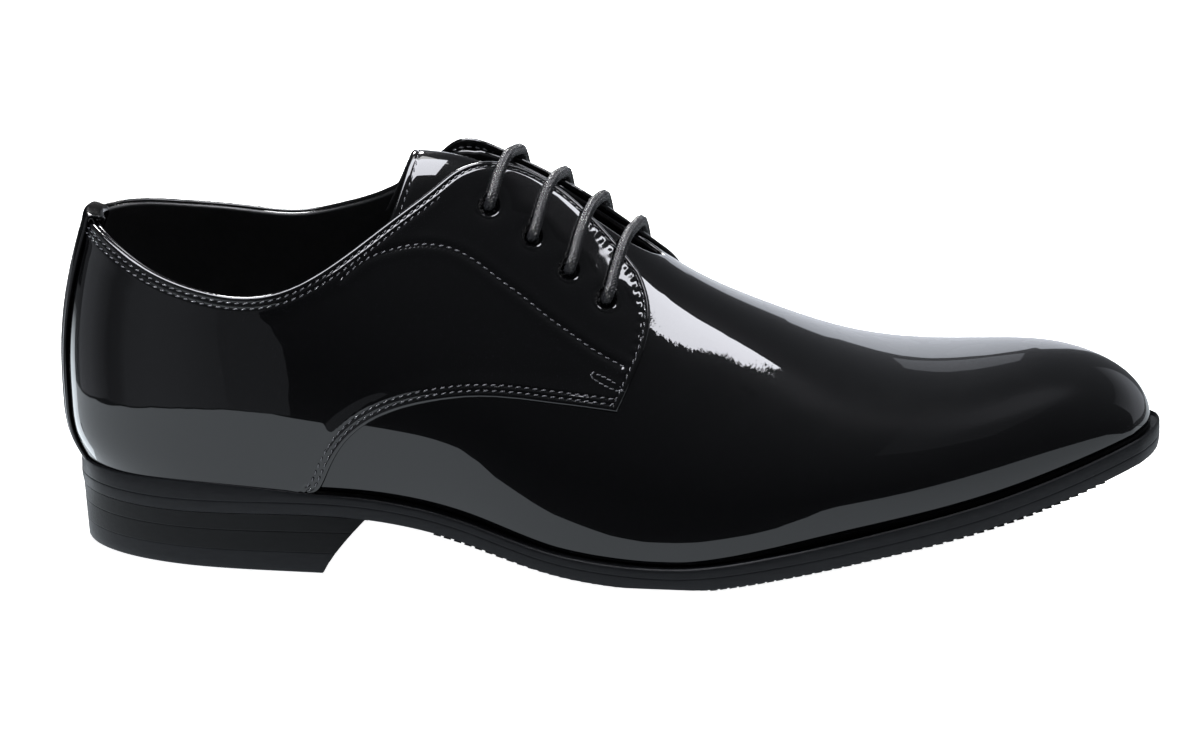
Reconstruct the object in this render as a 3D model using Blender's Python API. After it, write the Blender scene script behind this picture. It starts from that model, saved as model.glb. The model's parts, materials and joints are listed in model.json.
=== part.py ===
"""Black patent leather derby shoe for the right foot.

Sizes are millimetres on the last, with the heel at station 0 and the toe at LAST_LENGTH.
+X runs to the toe, the lateral side is at -Y, +Z is up and the floor is z = 0.
"""
import math

import bmesh
import bpy
import numpy as np

MM = 0.001
LATERAL, MEDIAL = -1.0, 1.0

# Main sizes of the last
LAST_LENGTH = 300.6
BALL_SCALE = 1.0
INSTEP_SCALE = 1.0
CENTRE_X = 150.2
CENTRE_Y = -1.14

# Layers, measured outward from the last
UPPER_WALL = 1.6
GAP = 0.35
QUARTER_WALL = 1.2
BACKSTAY_WALL = 1.0
TONGUE_GAP = 0.8
TONGUE_WALL = 1.8

# Sole and heel
WELT = 2.4
OUTSOLE = 3.7
PLAY = 0.35
INSOLE_TOP = 1.4
HEEL_INSET = 0.5
HEEL_HEIGHT = 16.6
BREAST_TOP = 82.5
BREAST_FLOOR = 69.0
BREAST_HOLLOW = 2.0

# Lace
CORD_RADIUS = 1.7
CORD_SIDES = 6
CORD_BEND = 1.9
CORD_END = 0.4
CORD_CLEAR = 0.65
EYELET_RADIUS = 2.4
EYELET_SIDES = 16

# One row per section: the half widths at the fullest line, the height of the feather line,
# the ridge above it, the ridge's offset to the medial side, the roof (tent) of the section and
# the tuck, the degrees from the ridge at which the section ends on the feather line
SECTIONS = [
    dict(station=0.0, lateral=0.0, medial=0.0, feather=23.0, height=93.4, ridge=0.0, roof=0, tuck=110),
    dict(station=10.0, lateral=19.0, medial=19.0, feather=23.0, height=93.4, ridge=0.0, roof=0, tuck=110),
    dict(station=30.0, lateral=28.5, medial=28.5, feather=23.1, height=93.4, ridge=0.3, roof=0, tuck=110),
    dict(station=60.0, lateral=32.0, medial=31.0, feather=23.1, height=91.4, ridge=1.0, roof=0.02, tuck=110),
    dict(station=88.0, lateral=34.5, medial=30.0, feather=21.3, height=91.0, ridge=2.0, roof=0.045, tuck=110),
    dict(station=112.0, lateral=38.0, medial=30.0, feather=15.9, height=95.1, ridge=3.0, roof=0.06, tuck=108),
    dict(station=132.0, lateral=40.2, medial=32.5, feather=9.5, height=92.8, ridge=3.5, roof=0.05, tuck=101),
    dict(station=152.0, lateral=42.9, medial=36.5, feather=6.4, height=82.0, ridge=4.0, roof=0.03, tuck=97.5),
    dict(station=172.0, lateral=45.0, medial=41.0, feather=6.1, height=68.3, ridge=4.0, roof=0.02, tuck=97.5),
    dict(station=192.0, lateral=46.2, medial=44.3, feather=9.3, height=55.4, ridge=4.0, roof=0.01, tuck=100),
    dict(station=212.0, lateral=45.6, medial=44.2, feather=13.2, height=43.6, ridge=4.5, roof=0, tuck=105),
    dict(station=232.0, lateral=42.2, medial=40.8, feather=16.9, height=35.3, ridge=5.0, roof=-0.02, tuck=107),
    dict(station=252.0, lateral=35.4, medial=34.8, feather=20.5, height=31.4, ridge=5.0, roof=-0.03, tuck=107),
    dict(station=272.0, lateral=26.2, medial=27.0, feather=25.0, height=27.6, ridge=5.0, roof=-0.02, tuck=108),
    dict(station=288.0, lateral=16.8, medial=18.0, feather=29.2, height=19.6, ridge=5.0, roof=0, tuck=110),
    dict(station=297.0, lateral=8.8, medial=9.8, feather=31.6, height=10.6, ridge=5.0, roof=0, tuck=110),
    dict(station=LAST_LENGTH, lateral=0.0, medial=0.0, feather=32.4, height=0.6, ridge=5.0, roof=0, tuck=110),
]

# How far the back of the heel is set in, by height above the feather line
HEEL_CURVE = [
    dict(above=0, set_in=6.8), dict(above=9, set_in=1.8), dict(above=20, set_in=0.2),
    dict(above=29, set_in=0.0), dict(above=42, set_in=0.8), dict(above=57, set_in=3.6),
    dict(above=72, set_in=7.8), dict(above=97, set_in=15.4),
]
HEEL_REACH = 95.0

# Half width under which a section no longer leans
NARROW_HALF = 12.0

# How far the sole's edge stands out from the feather line, by station
SOLE_EDGE = [
    dict(station=0.0, lateral=6.6, medial=6.6),
    dict(station=60.0, lateral=4.2, medial=3.8),
    dict(station=100.0, lateral=4.4, medial=3.4),
    dict(station=140.0, lateral=4.3, medial=3.5),
    dict(station=180.0, lateral=4.7, medial=3.9),
    dict(station=205.0, lateral=5.5, medial=4.4),
    dict(station=230.0, lateral=5.4, medial=4.6),
    dict(station=280.0, lateral=4.8, medial=4.8),
    dict(station=LAST_LENGTH, lateral=4.3, medial=4.3),
]

# How far the heel is drawn in at the floor, by station
HEEL_TAPER = [dict(station=0.0, taper=1.0), dict(station=30.0, taper=2.2), dict(station=66.0, taper=-0.5)]

# Profiles of the sole's edge: depth under the feather line and set-in from the edge
SOLE_DEPTH = WELT + PLAY + OUTSOLE
OUTSOLE_PROFILE = [
    dict(depth=SOLE_DEPTH, inset=1.1), dict(depth=SOLE_DEPTH - 0.9, inset=0.3),
    dict(depth=WELT + PLAY + 0.5, inset=0.0), dict(depth=WELT + PLAY, inset=0.5),
]
WELT_PROFILE = [
    dict(depth=WELT, inset=0.8), dict(depth=WELT - 0.6, inset=0.2),
    dict(depth=0.5, inset=0.2), dict(depth=0.0, inset=0.7),
]
WELT_REACH = 1.2
INSOLE_REACH = 1.6

# Heel layers: height above the floor and set-in; the block has a groove and ends under the sole
TOP_PIECE_LEVELS = [dict(height=0.0, inset=0.6), dict(height=0.6, inset=0.0), dict(height=5.8, inset=0.0)]
BLOCK_LEVELS = [
    dict(height=6.15, inset=0.0), dict(height=11.6, inset=0.0), dict(height=11.8, inset=0.4),
    dict(height=12.1, inset=0.4), dict(height=12.3, inset=0.0), dict(height=None, inset=0.0),
]

# Edges of the quarters, one row per rib from the heel seam to the front: station and degrees from
# the ridge, for the foot edge (feather line, then the swoop) and the top edge (collar, then facing)
QUARTER_LATERAL = [
    dict(foot=0.0, foot_deg=110.0, top=0.0, top_deg=47.9),
    dict(foot=10.0, foot_deg=110.0, top=9.8, top_deg=53.2),
    dict(foot=25.0, foot_deg=110.0, top=24.0, top_deg=59.4),
    dict(foot=45.0, foot_deg=110.0, top=43.0, top_deg=62.1),
    dict(foot=62.0, foot_deg=110.0, top=59.0, top_deg=58.5),
    dict(foot=69.5, foot_deg=106.8, top=73.0, top_deg=49.2),
    dict(foot=76.2, foot_deg=95.2, top=87.0, top_deg=37.2),
    dict(foot=87.8, foot_deg=85.0, top=100.0, top_deg=25.6),
    dict(foot=104.2, foot_deg=77.1, top=108.6, top_deg=16.0),
    dict(foot=124.0, foot_deg=68.6, top=122.0, top_deg=9.9),
    dict(foot=140.0, foot_deg=63.8, top=138.0, top_deg=11.6),
    dict(foot=150.8, foot_deg=61.5, top=157.3, top_deg=22.2),
]
QUARTER_MEDIAL = [
    dict(foot=0.0, foot_deg=110.0, top=0.0, top_deg=47.9),
    dict(foot=10.0, foot_deg=110.0, top=10.0, top_deg=48.6),
    dict(foot=25.0, foot_deg=110.0, top=25.0, top_deg=51.5),
    dict(foot=45.0, foot_deg=110.0, top=43.0, top_deg=52.3),
    dict(foot=62.0, foot_deg=110.0, top=59.0, top_deg=50.9),
    dict(foot=69.5, foot_deg=106.8, top=73.0, top_deg=45.1),
    dict(foot=76.2, foot_deg=95.2, top=87.0, top_deg=36.8),
    dict(foot=88.0, foot_deg=85.6, top=100.0, top_deg=23.9),
    dict(foot=105.0, foot_deg=77.8, top=109.0, top_deg=12.5),
    dict(foot=126.0, foot_deg=69.4, top=124.0, top_deg=11.5),
    dict(foot=144.0, foot_deg=64.0, top=144.0, top_deg=9.0),
    dict(foot=157.0, foot_deg=61.5, top=168.0, top_deg=14.0),
]
FRONT_BULGE = 3.3
FRONT_FADE = 12
SEAM_TURN = 0.07

# The throat: half width of the slot between the facings and where it starts, rounds and ends
SLOT_DEG = 10.0
SLOT_START = 112.0
SLOT_ROUND = 150.0
SLOT_END = 163.0

# Backstay: half width in turns, and its fold over the collar (degrees under the topline, offsets)
BACKSTAY_REACH = 0.17
BACKSTAY_FOLD = [
    dict(under=-0.5, inner=3.5, under_out=-1.3, outer=4.3),
    dict(under=-0.5, inner=1.6, under_out=-1.9, outer=1.6),
    dict(under=-0.5, inner=-0.35, under_out=-1.3, outer=-1.15),
    dict(under=3.0, inner=-0.35, under_out=3.0, outer=-1.35),
    dict(under=7.0, inner=-0.35, under_out=7.0, outer=-1.35),
    dict(under=11.0, inner=-0.35, under_out=11.0, outer=-1.35),
]

# Tongue: half widths in degrees, its free end on the ridge, how far its corners fall back, its front
TONGUE_DEG_FREE = 42.0
TONGUE_DEG_FRONT = 26.0
TONGUE_FREE_END = 94.5
TONGUE_CORNERS = 8.5
TONGUE_FRONT = 172.0

# Eyelets in pairs from the top: station and degrees from the ridge on each side, and the degrees
# just inside the facings' edges, between which the taut cord runs straight
EYELETS = [
    dict(lateral=115.8, lateral_deg=26.8, medial=126.0, medial_deg=26.0, near_edge=8.0, far_edge=9.0),
    dict(lateral=127.6, lateral_deg=30.2, medial=138.0, medial_deg=27.0, near_edge=9.0, far_edge=8.5),
    dict(lateral=137.8, lateral_deg=33.8, medial=148.5, medial_deg=28.0, near_edge=11.0, far_edge=7.5),
    dict(lateral=148.0, lateral_deg=36.2, medial=158.5, medial_deg=29.0, near_edge=14.0, far_edge=8.0),
]

# Grey and roughness of each material
LOOKS = {
    "patent leather": (0.006, 0.06),
    "lining leather": (0.02, 0.6),
    "waxed cord": (0.03, 0.5),
    "rubber": (0.02, 0.5),
    "board": (0.05, 0.7),
    "cutter": (0.5, 0.5),
}

# How finely the solids are divided
SHELL_TURNS, SHELL_LINES = 40, 11
QUARTER_RIBS, QUARTER_LINES = 33, 11
STAY_RIBS, STAY_LINES = 7, 11
TONGUE_RIBS = 11
CORD_STEPS = 9
SOLE_TURNS = 36
HEEL_TURNS = 15
STEP = 1e-3
SEAM_BLEND = 0.03


def spline(knots, values, at):
    """Natural cubic spline through the rows of a table."""
    knots = np.asarray(knots, float)
    values = np.asarray(values, float)
    step = np.diff(knots)
    count = len(knots)
    system = np.eye(count)
    right = np.zeros(count)
    for i in range(1, count - 1):
        system[i, i - 1:i + 2] = step[i - 1], 2 * (step[i - 1] + step[i]), step[i]
        right[i] = 6 * ((values[i + 1] - values[i]) / step[i] - (values[i] - values[i - 1]) / step[i - 1])
    bend = np.linalg.solve(system, right)
    at = np.asarray(at, float)
    i = np.clip(np.searchsorted(knots, at) - 1, 0, count - 2)
    before, after, wide = at - knots[i], knots[i + 1] - at, step[i]
    curve = (bend[i] * after ** 3 + bend[i + 1] * before ** 3) / (6 * wide)
    curve += (values[i] / wide - bend[i] * wide / 6) * after
    return curve + (values[i + 1] / wide - bend[i + 1] * wide / 6) * before


def turn_of(station):
    """The stations are spread like a half turn, so that heel and toe are finely divided."""
    return np.arccos(np.clip(1 - 2 * np.asarray(station, float) / LAST_LENGTH, -1, 1))


def station_of(turn):
    return LAST_LENGTH * (1 - np.cos(turn)) / 2


def column(table, name, turn):
    return spline(turn_of([row["station"] for row in table]), [row[name] for row in table], turn)


def tuck(turn):
    """The angle at which a section ends on the feather line."""
    return np.radians(column(SECTIONS, "tuck", turn))


def last(turn, angle):
    """A point of the last: angle 0 is the ridge, negative angles are on the lateral side."""
    turn, angle = np.broadcast_arrays(np.asarray(turn, float), np.asarray(angle, float))
    lateral = column(SECTIONS, "lateral", turn) * BALL_SCALE
    medial = column(SECTIONS, "medial", turn) * BALL_SCALE
    feather = column(SECTIONS, "feather", turn)
    height = column(SECTIONS, "height", turn) * INSTEP_SCALE
    ridge = column(SECTIONS, "ridge", turn)
    roof = column(SECTIONS, "roof", turn)
    across = (np.sin(angle) - roof * np.sin(3 * angle)) / (1 + roof)
    upward = (np.cos(angle) + roof * np.cos(3 * angle)) / (1 + roof)
    end = tuck(turn)
    low = (np.cos(end) + roof * np.cos(3 * end)) / (1 + roof)
    half = (lateral + medial) / 2
    lean = ((medial - lateral) / 2 - ridge) * np.minimum(1, half / NARROW_HALF)
    y = ridge + half * across + lean * across ** 2
    above = height * (upward - low) / (1 - low)
    fade = np.clip(1 - station_of(turn) / HEEL_REACH, 0, 1)
    fade = fade * fade * (3 - 2 * fade)
    heights = [row["above"] for row in HEEL_CURVE]
    set_in = spline(heights, [row["set_in"] for row in HEEL_CURVE], np.clip(above, 0, heights[-1]))
    return np.stack([station_of(turn) + fade * set_in, y, feather + above], -1)


def outward(turn, angle):
    """The last's outward direction, made even across the heel seam and the toe's tip."""
    turn, angle = np.broadcast_arrays(np.asarray(turn, float), np.asarray(angle, float))
    at = np.clip(turn, SEAM_BLEND, math.pi - SEAM_BLEND)
    along = last(at + STEP, angle) - last(at - STEP, angle)
    round_it = last(at, angle + STEP) - last(at, angle - STEP)
    normal = np.cross(along, round_it)
    normal /= np.linalg.norm(normal, axis=-1, keepdims=True)
    normal[..., 1] *= np.clip(turn / SEAM_BLEND, 0, 1)
    tip = np.clip((turn - math.pi + SEAM_BLEND) / SEAM_BLEND, 0, 1)[..., None]
    normal = normal * (1 - tip) + tip * np.array([1.0, 0.0, 0.0])
    return normal / np.linalg.norm(normal, axis=-1, keepdims=True)


def skin(turn, angle, off):
    """A point at a distance from the last, kept above the welt at the foot."""
    point = last(turn, angle) + np.asarray(off, float)[..., None] * outward(turn, angle)
    feather = column(SECTIONS, "feather", np.broadcast_to(turn, point.shape[:-1]))
    point[..., 2] = np.maximum(point[..., 2], feather + PLAY)
    return point


def table_curve(table, name, share):
    return spline(np.linspace(0, 1, len(table)), [row[name] for row in table], share)


def quarter_grid(table, side, ribs, lines):
    """Turns and angles over a quarter, from its foot edge to its top edge."""
    share = np.linspace(0, 1, ribs)[:, None]
    up = np.linspace(0, 1, lines)[None, :]
    station = table_curve(table, "foot", share) * (1 - up) + table_curve(table, "top", share) * up
    station = station + FRONT_BULGE * np.sin(math.pi * up) * share ** FRONT_FADE
    turn = np.maximum(turn_of(station), SEAM_TURN)
    angle = table_curve(table, "foot_deg", share) * (1 - up) + table_curve(table, "top_deg", share) * up
    return turn, side * np.minimum(np.radians(angle), tuck(turn))


def topline(table, station):
    """Degrees from the ridge where the upper is open: collar, then the slot between the facings."""
    share = np.linspace(0, 1, 200)
    edge = np.interp(station, table_curve(table, "top", share), table_curve(table, "top_deg", share))
    close = np.clip((station - SLOT_ROUND) / (SLOT_END - SLOT_ROUND), 0, 1)
    slot = SLOT_DEG * np.sqrt(1 - close * close)
    return np.where(station < SLOT_START, np.maximum(edge, SLOT_DEG), slot)


def outline(turns, side, out):
    """Plan outline beside the feather line on one side."""
    at = np.clip(turns, SEAM_BLEND, math.pi - SEAM_BLEND)
    along = last(at + STEP, side * tuck(at + STEP)) - last(at - STEP, side * tuck(at - STEP))
    normal = side * np.stack([-along[:, 1], along[:, 0]], -1)
    normal /= np.linalg.norm(normal, axis=-1, keepdims=True)
    normal[turns < STEP] = -1.0, 0.0
    normal[turns > math.pi - STEP] = 1.0, 0.0
    return last(turns, side * tuck(turns))[:, :2] + np.reshape(out, (-1, 1)) * normal


def sole_ring(turns, depth, inset=0.0, fixed=None):
    """Closed loop round the sole, some way under the feather line: lateral side out, medial side back."""
    sides = []
    for side, name in ((LATERAL, "lateral"), (MEDIAL, "medial")):
        out = column(SOLE_EDGE, name, turns) - inset if fixed is None else np.full(len(turns), fixed)
        height = np.maximum(column(SECTIONS, "feather", turns) - depth, 0.0)
        sides.append(np.column_stack([outline(turns, side, out), height]))
    return np.concatenate([sides[0], sides[1][-2:0:-1]])


def make(name, look, points, faces):
    """One closed solid with its own material."""
    mesh = bpy.data.meshes.new(name)
    place = (np.asarray(points) - np.array([CENTRE_X, CENTRE_Y, 0.0])) * MM
    mesh.from_pydata(place.tolist(), [], [tuple(int(v) for v in face) for face in faces])
    shape = bmesh.new()
    shape.from_mesh(mesh)
    bmesh.ops.remove_doubles(shape, verts=shape.verts[:], dist=1e-6)
    bmesh.ops.recalc_face_normals(shape, faces=shape.faces[:])
    shape.to_mesh(mesh)
    shape.free()
    item = bpy.data.objects.new(name, mesh)
    parts.objects.link(item)
    colour, rough = LOOKS[look]
    material = bpy.data.materials.new(name + " " + look)
    material.use_nodes = True
    shader = material.node_tree.nodes["Principled BSDF"]
    shader.inputs["Base Color"].default_value = (colour, colour, colour, 1.0)
    shader.inputs["Roughness"].default_value = rough
    mesh.materials.append(material)
    return item


def rows_to_faces(rows, around, closed):
    """Quads between rows of points; closed rows join their ends."""
    faces = []
    for k in range(rows - 1):
        for i in range(around if closed else around - 1):
            j = (i + 1) % around
            faces.append((k * around + i, k * around + j, (k + 1) * around + j, (k + 1) * around + i))
    return faces


def strips_across(base, count, around):
    """Faces that close a loop by strips from one side to the other."""
    faces = []
    for i in range(count - 1):
        corners = [i, i + 1, (around - i - 1) % around, (around - i) % around]
        faces.append([base + v for v in dict.fromkeys(corners)])
    return faces


def plate(name, look, rings):
    """Solid from loops round the sole, closed below and above by strips across."""
    around = len(rings[0])
    faces = rows_to_faces(len(rings), around, True)
    for base in (0, (len(rings) - 1) * around):
        faces += strips_across(base, around // 2 + 1, around)
    return make(name, look, np.concatenate(rings), faces)


def band(name, look, rings):
    """Ring-shaped solid from loops that go once round its section."""
    around = len(rings[0])
    total = len(rings) * around
    faces = [[v % total for v in face] for face in rows_to_faces(len(rings) + 1, around, True)]
    return make(name, look, np.concatenate(rings), faces)


def sheet(name, look, outer, inner):
    """Solid between two grids of the same size."""
    rows, lines = outer.shape[:2]
    size = rows * lines
    faces = rows_to_faces(rows, lines, False)
    faces += [[v + size for v in face] for face in faces]
    rim = [i * lines for i in range(rows)] + [(rows - 1) * lines + j for j in range(1, lines)]
    rim += [i * lines + lines - 1 for i in range(rows - 2, -1, -1)] + list(range(lines - 2, 0, -1))
    for a, b in zip(rim, rim[1:] + rim[:1]):
        faces.append((a, b, b + size, a + size))
    return make(name, look, np.concatenate([outer.reshape(-1, 3), inner.reshape(-1, 3)]), faces)


def upper_shell(name, look):
    """The hollow upper: a lateral and a medial grid welded at heel seam, ridge and toe."""
    slot_turns = turn_of([SLOT_START - 3, SLOT_ROUND + 6, SLOT_END - 3, SLOT_END])
    turns = np.unique(np.round(np.concatenate([np.linspace(0, math.pi, SHELL_TURNS), slot_turns]), 4))
    turns[-1] = math.pi
    climb = np.linspace(0, 1, SHELL_LINES)[None, :]
    points, faces = [], []
    start = 0
    for side, table in ((LATERAL, QUARTER_LATERAL), (MEDIAL, QUARTER_MEDIAL)):
        top = np.radians(topline(table, station_of(turns)))
        foot = tuck(turns)[:, None]
        angle = side * (foot + (top[:, None] - foot) * climb)
        turn = np.broadcast_to(turns[:, None], angle.shape)
        size = angle.size
        quads = rows_to_faces(len(turns), SHELL_LINES, False)
        for layer, off in enumerate((UPPER_WALL, 0.0)):
            points.append(skin(turn, angle, np.full(angle.shape, off)).reshape(-1, 3))
            faces += [[start + layer * size + v for v in face] for face in quads]
        for i in range(len(turns) - 1):
            edges = [0]
            if max(top[i], top[i + 1]) > 1e-6:
                edges.append(SHELL_LINES - 1)
            for j in edges:
                a, b = start + i * SHELL_LINES + j, start + (i + 1) * SHELL_LINES + j
                faces.append((a, b, b + size, a + size))
        start += 2 * size
    return make(name, look, np.concatenate(points), faces)


def quarter(name, look, table, side):
    turn, angle = quarter_grid(table, side, QUARTER_RIBS, QUARTER_LINES)
    inside = UPPER_WALL + GAP
    outer = skin(turn, angle, np.full(turn.shape, inside + QUARTER_WALL))
    inner = skin(turn, angle, np.full(turn.shape, inside))
    return sheet(name, look, outer, inner)


def backstay(name, look):
    """Strip up the heel seam, over the collar and a little way down inside."""
    inside = UPPER_WALL + QUARTER_WALL + 2 * GAP
    climb = np.linspace(0, 1, STAY_LINES)
    layers = (("under_out", "outer", inside + BACKSTAY_WALL), ("under", "inner", inside))
    grids = []
    for under, fold, off in layers:
        ribs = []
        for reach in np.linspace(-BACKSTAY_REACH, BACKSTAY_REACH, STAY_RIBS):
            side, table = (LATERAL, QUARTER_LATERAL) if reach < 0 else (MEDIAL, QUARTER_MEDIAL)
            top = topline(table, station_of(abs(reach)))
            foot = np.degrees(tuck(abs(reach)))
            folded = [top + row[under] for row in BACKSTAY_FOLD]
            degrees = np.concatenate([foot + (top - foot) * climb, folded])
            offs = np.concatenate([np.full(STAY_LINES, off), [row[fold] for row in BACKSTAY_FOLD]])
            ribs.append(skin(np.full(len(degrees), abs(reach)), side * np.radians(degrees), offs))
        grids.append(np.array(ribs))
    return sheet(name, look, grids[0], grids[1])


def tongue(name, look):
    """Tongue under the facings, from its free end at the collar to a stub under the vamp."""
    along = np.linspace(0, 1, TONGUE_RIBS)[:, None]
    across = np.linspace(-1, 1, TONGUE_RIBS)[None, :]
    angle = across * np.radians(TONGUE_DEG_FREE + (TONGUE_DEG_FRONT - TONGUE_DEG_FREE) * along)
    free_end = TONGUE_FREE_END - TONGUE_CORNERS * across ** 2
    turn = turn_of(free_end + (TONGUE_FRONT - free_end) * along)
    point, normal = last(turn, angle), outward(turn, angle)
    return sheet(name, look, point - TONGUE_GAP * normal, point - (TONGUE_GAP + TONGUE_WALL) * normal)


def heel(name, look, levels):
    """Heel layer with a hollow breast; a level with no height lies against the sole."""
    breast_share = np.array([0.2, 0.5, 0.8])
    loops = []
    for row in levels:
        under_sole = SECTIONS[0]["feather"] - SOLE_DEPTH - PLAY
        level = under_sole if row["height"] is None else row["height"]
        climb = level / HEEL_HEIGHT
        turns = np.linspace(0, 1, HEEL_TURNS) * turn_of(BREAST_FLOOR + (BREAST_TOP - BREAST_FLOOR) * climb)
        loop = []
        for side, edge in ((LATERAL, "lateral"), (MEDIAL, "medial")):
            out = column(SOLE_EDGE, edge, turns) - HEEL_INSET - row["inset"]
            out -= column(HEEL_TAPER, "taper", turns) * (1 - climb)
            height = np.full(len(turns), level)
            if row["height"] is None:
                height = column(SECTIONS, "feather", turns) - SOLE_DEPTH - PLAY
            loop.append(np.column_stack([outline(turns, side, out), height]))
        share = breast_share[:, None]
        front = loop[0][-1] * (1 - share) + loop[1][-1] * share
        front[:, 0] -= BREAST_HOLLOW * 4 * breast_share * (1 - breast_share)
        loops.append(np.concatenate([loop[0], front, loop[1][:0:-1]]))
    around = len(loops[0])
    faces = rows_to_faces(len(loops), around, True)
    for base in (0, (len(loops) - 1) * around):
        faces += strips_across(base, HEEL_TURNS, around)
        faces.append([base + HEEL_TURNS - 1 + v for v in range(len(breast_share) + 2)])
    return make(name, look, np.concatenate(loops), faces)


def lace_bar(name, look, pair):
    """A bar of cord that comes out of one eyelet, crosses the throat and goes into the other."""
    ride = UPPER_WALL + GAP + QUARTER_WALL + CORD_RADIUS + CORD_CLEAR
    share = np.linspace(0, 1, 200)
    turn = turn_of(pair["lateral"] + (pair["medial"] - pair["lateral"]) * share)
    angle = np.radians(-pair["lateral_deg"] + (pair["medial_deg"] + pair["lateral_deg"]) * share)
    route = last(turn, angle)
    length = np.concatenate([[0], np.cumsum(np.linalg.norm(np.diff(route, axis=0), axis=1))])
    total = length[-1]
    rise = [(0.0, CORD_END), (0.0, ride - CORD_BEND)]
    for a in np.radians([30, 60, 90]):
        rise.append((CORD_BEND * (1 - math.cos(a)), ride - CORD_BEND * (1 - math.sin(a))))
    span = [(d, ride) for d in np.linspace(CORD_BEND, total - CORD_BEND, CORD_STEPS)[1:-1]]
    steps = np.array(rise + span + [(total - d, off) for d, off in rise[::-1]])
    run, off = steps.T
    turn, angle = np.interp(run, length, turn), np.interp(run, length, angle)
    centre = last(turn, angle) + off[:, None] * outward(turn, angle)
    edges = np.radians([-pair["near_edge"], pair["far_edge"]])
    taut = (angle > edges[0]) & (angle < edges[1])
    for axis in range(3):
        ends = np.interp(edges, angle, centre[:, axis])
        centre[taut, axis] = np.interp(angle[taut], edges, ends)
    tangent = np.gradient(centre, axis=0)
    tangent /= np.linalg.norm(tangent, axis=1, keepdims=True)
    lead = np.array([1.0, 0.0, 0.0])
    turns = np.arange(CORD_SIDES)[:, None] * 2 * math.pi / CORD_SIDES
    rings = []
    for point, ahead in zip(centre, tangent):
        lead = lead - ahead * np.dot(lead, ahead)
        lead /= np.linalg.norm(lead)
        rings.append(point + CORD_RADIUS * (np.cos(turns) * lead + np.sin(turns) * np.cross(ahead, lead)))
    faces = rows_to_faces(len(rings), CORD_SIDES, True)
    for base in (0, (len(rings) - 1) * CORD_SIDES):
        faces.append([base + k for k in range(CORD_SIDES)])
    return make(name, look, np.concatenate(rings), faces)


def eyelet_cutter(name, side, edge):
    """Four pins, one for each eyelet on a side."""
    points, faces = [], []
    turns = np.arange(EYELET_SIDES)[:, None] * 2 * math.pi / EYELET_SIDES
    for row in EYELETS:
        turn, angle = turn_of(row[edge]), side * math.radians(row[edge + "_deg"])
        centre, normal = last(turn, angle), outward(turn, angle)
        lead = np.cross(normal, [0.0, 1.0, 0.0])
        lead /= np.linalg.norm(lead)
        ring = EYELET_RADIUS * (np.cos(turns) * lead + np.sin(turns) * np.cross(normal, lead))
        start = len(points)
        points += [centre + off * normal + spoke for off in (-3.0, 8.0) for spoke in ring]
        faces += [[start + v for v in face] for face in rows_to_faces(2, EYELET_SIDES, True)]
        for base in (start, start + EYELET_SIDES):
            faces.append([base + k for k in range(EYELET_SIDES)])
    item = make(name, "cutter", points, faces)
    parts.objects.unlink(item)
    cutters.objects.link(item)
    item.hide_render = True
    item.display_type = "WIRE"
    return item


def punch(item, cutter):
    change = item.modifiers.new("eyelets " + cutter.name, "BOOLEAN")
    change.operation = "DIFFERENCE"
    change.solver = "EXACT"
    change.object = cutter


for old in list(bpy.data.objects):
    bpy.data.objects.remove(old)
parts = bpy.data.collections.new("derby_shoe")
cutters = bpy.data.collections.new("cutters")
bpy.context.scene.collection.children.link(parts)
bpy.context.scene.collection.children.link(cutters)

around_sole = np.linspace(0, math.pi, SOLE_TURNS)
welt_outside = [sole_ring(around_sole, row["depth"], row["inset"]) for row in WELT_PROFILE]
welt_inside = [sole_ring(around_sole, depth, fixed=-WELT_REACH) for depth in (0.0, WELT)]
plate("outsole", "rubber", [sole_ring(around_sole, row["depth"], row["inset"]) for row in OUTSOLE_PROFILE])
band("welt", "rubber", welt_outside + welt_inside)
plate("insole", "board", [sole_ring(around_sole, depth, fixed=-INSOLE_REACH) for depth in (WELT, -INSOLE_TOP)])
heel("heel_top_piece", "rubber", TOP_PIECE_LEVELS)
heel("heel_block", "rubber", BLOCK_LEVELS)

shell = upper_shell("upper", "patent leather")
panels = {
    LATERAL: quarter("quarter_lateral", "patent leather", QUARTER_LATERAL, LATERAL),
    MEDIAL: quarter("quarter_medial", "patent leather", QUARTER_MEDIAL, MEDIAL),
}
for side, edge in ((LATERAL, "lateral"), (MEDIAL, "medial")):
    pins = eyelet_cutter("eyelet_pins_" + edge, side, edge)
    punch(shell, pins)
    punch(panels[side], pins)
backstay("backstay", "patent leather")
tongue("tongue", "lining leather")
for number, pair in enumerate(EYELETS, 1):
    lace_bar("lace_bar_%d" % number, "waxed cord", pair)
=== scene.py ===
# %% [markdown]
# A black patent leather derby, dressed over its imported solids
#
# This lesson finishes a right-foot derby shoe in Blender. The solids that carry it are loaded
# first and never moved. Every visible piece is then modelled again on the same last, with the
# rolled edges, stitch rows, punched holes, braid and lacquer that the real shoe shows.

# %% Load the frame
import json
import math

import bmesh
import bpy
import numpy as np
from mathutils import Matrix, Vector, kdtree

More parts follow.
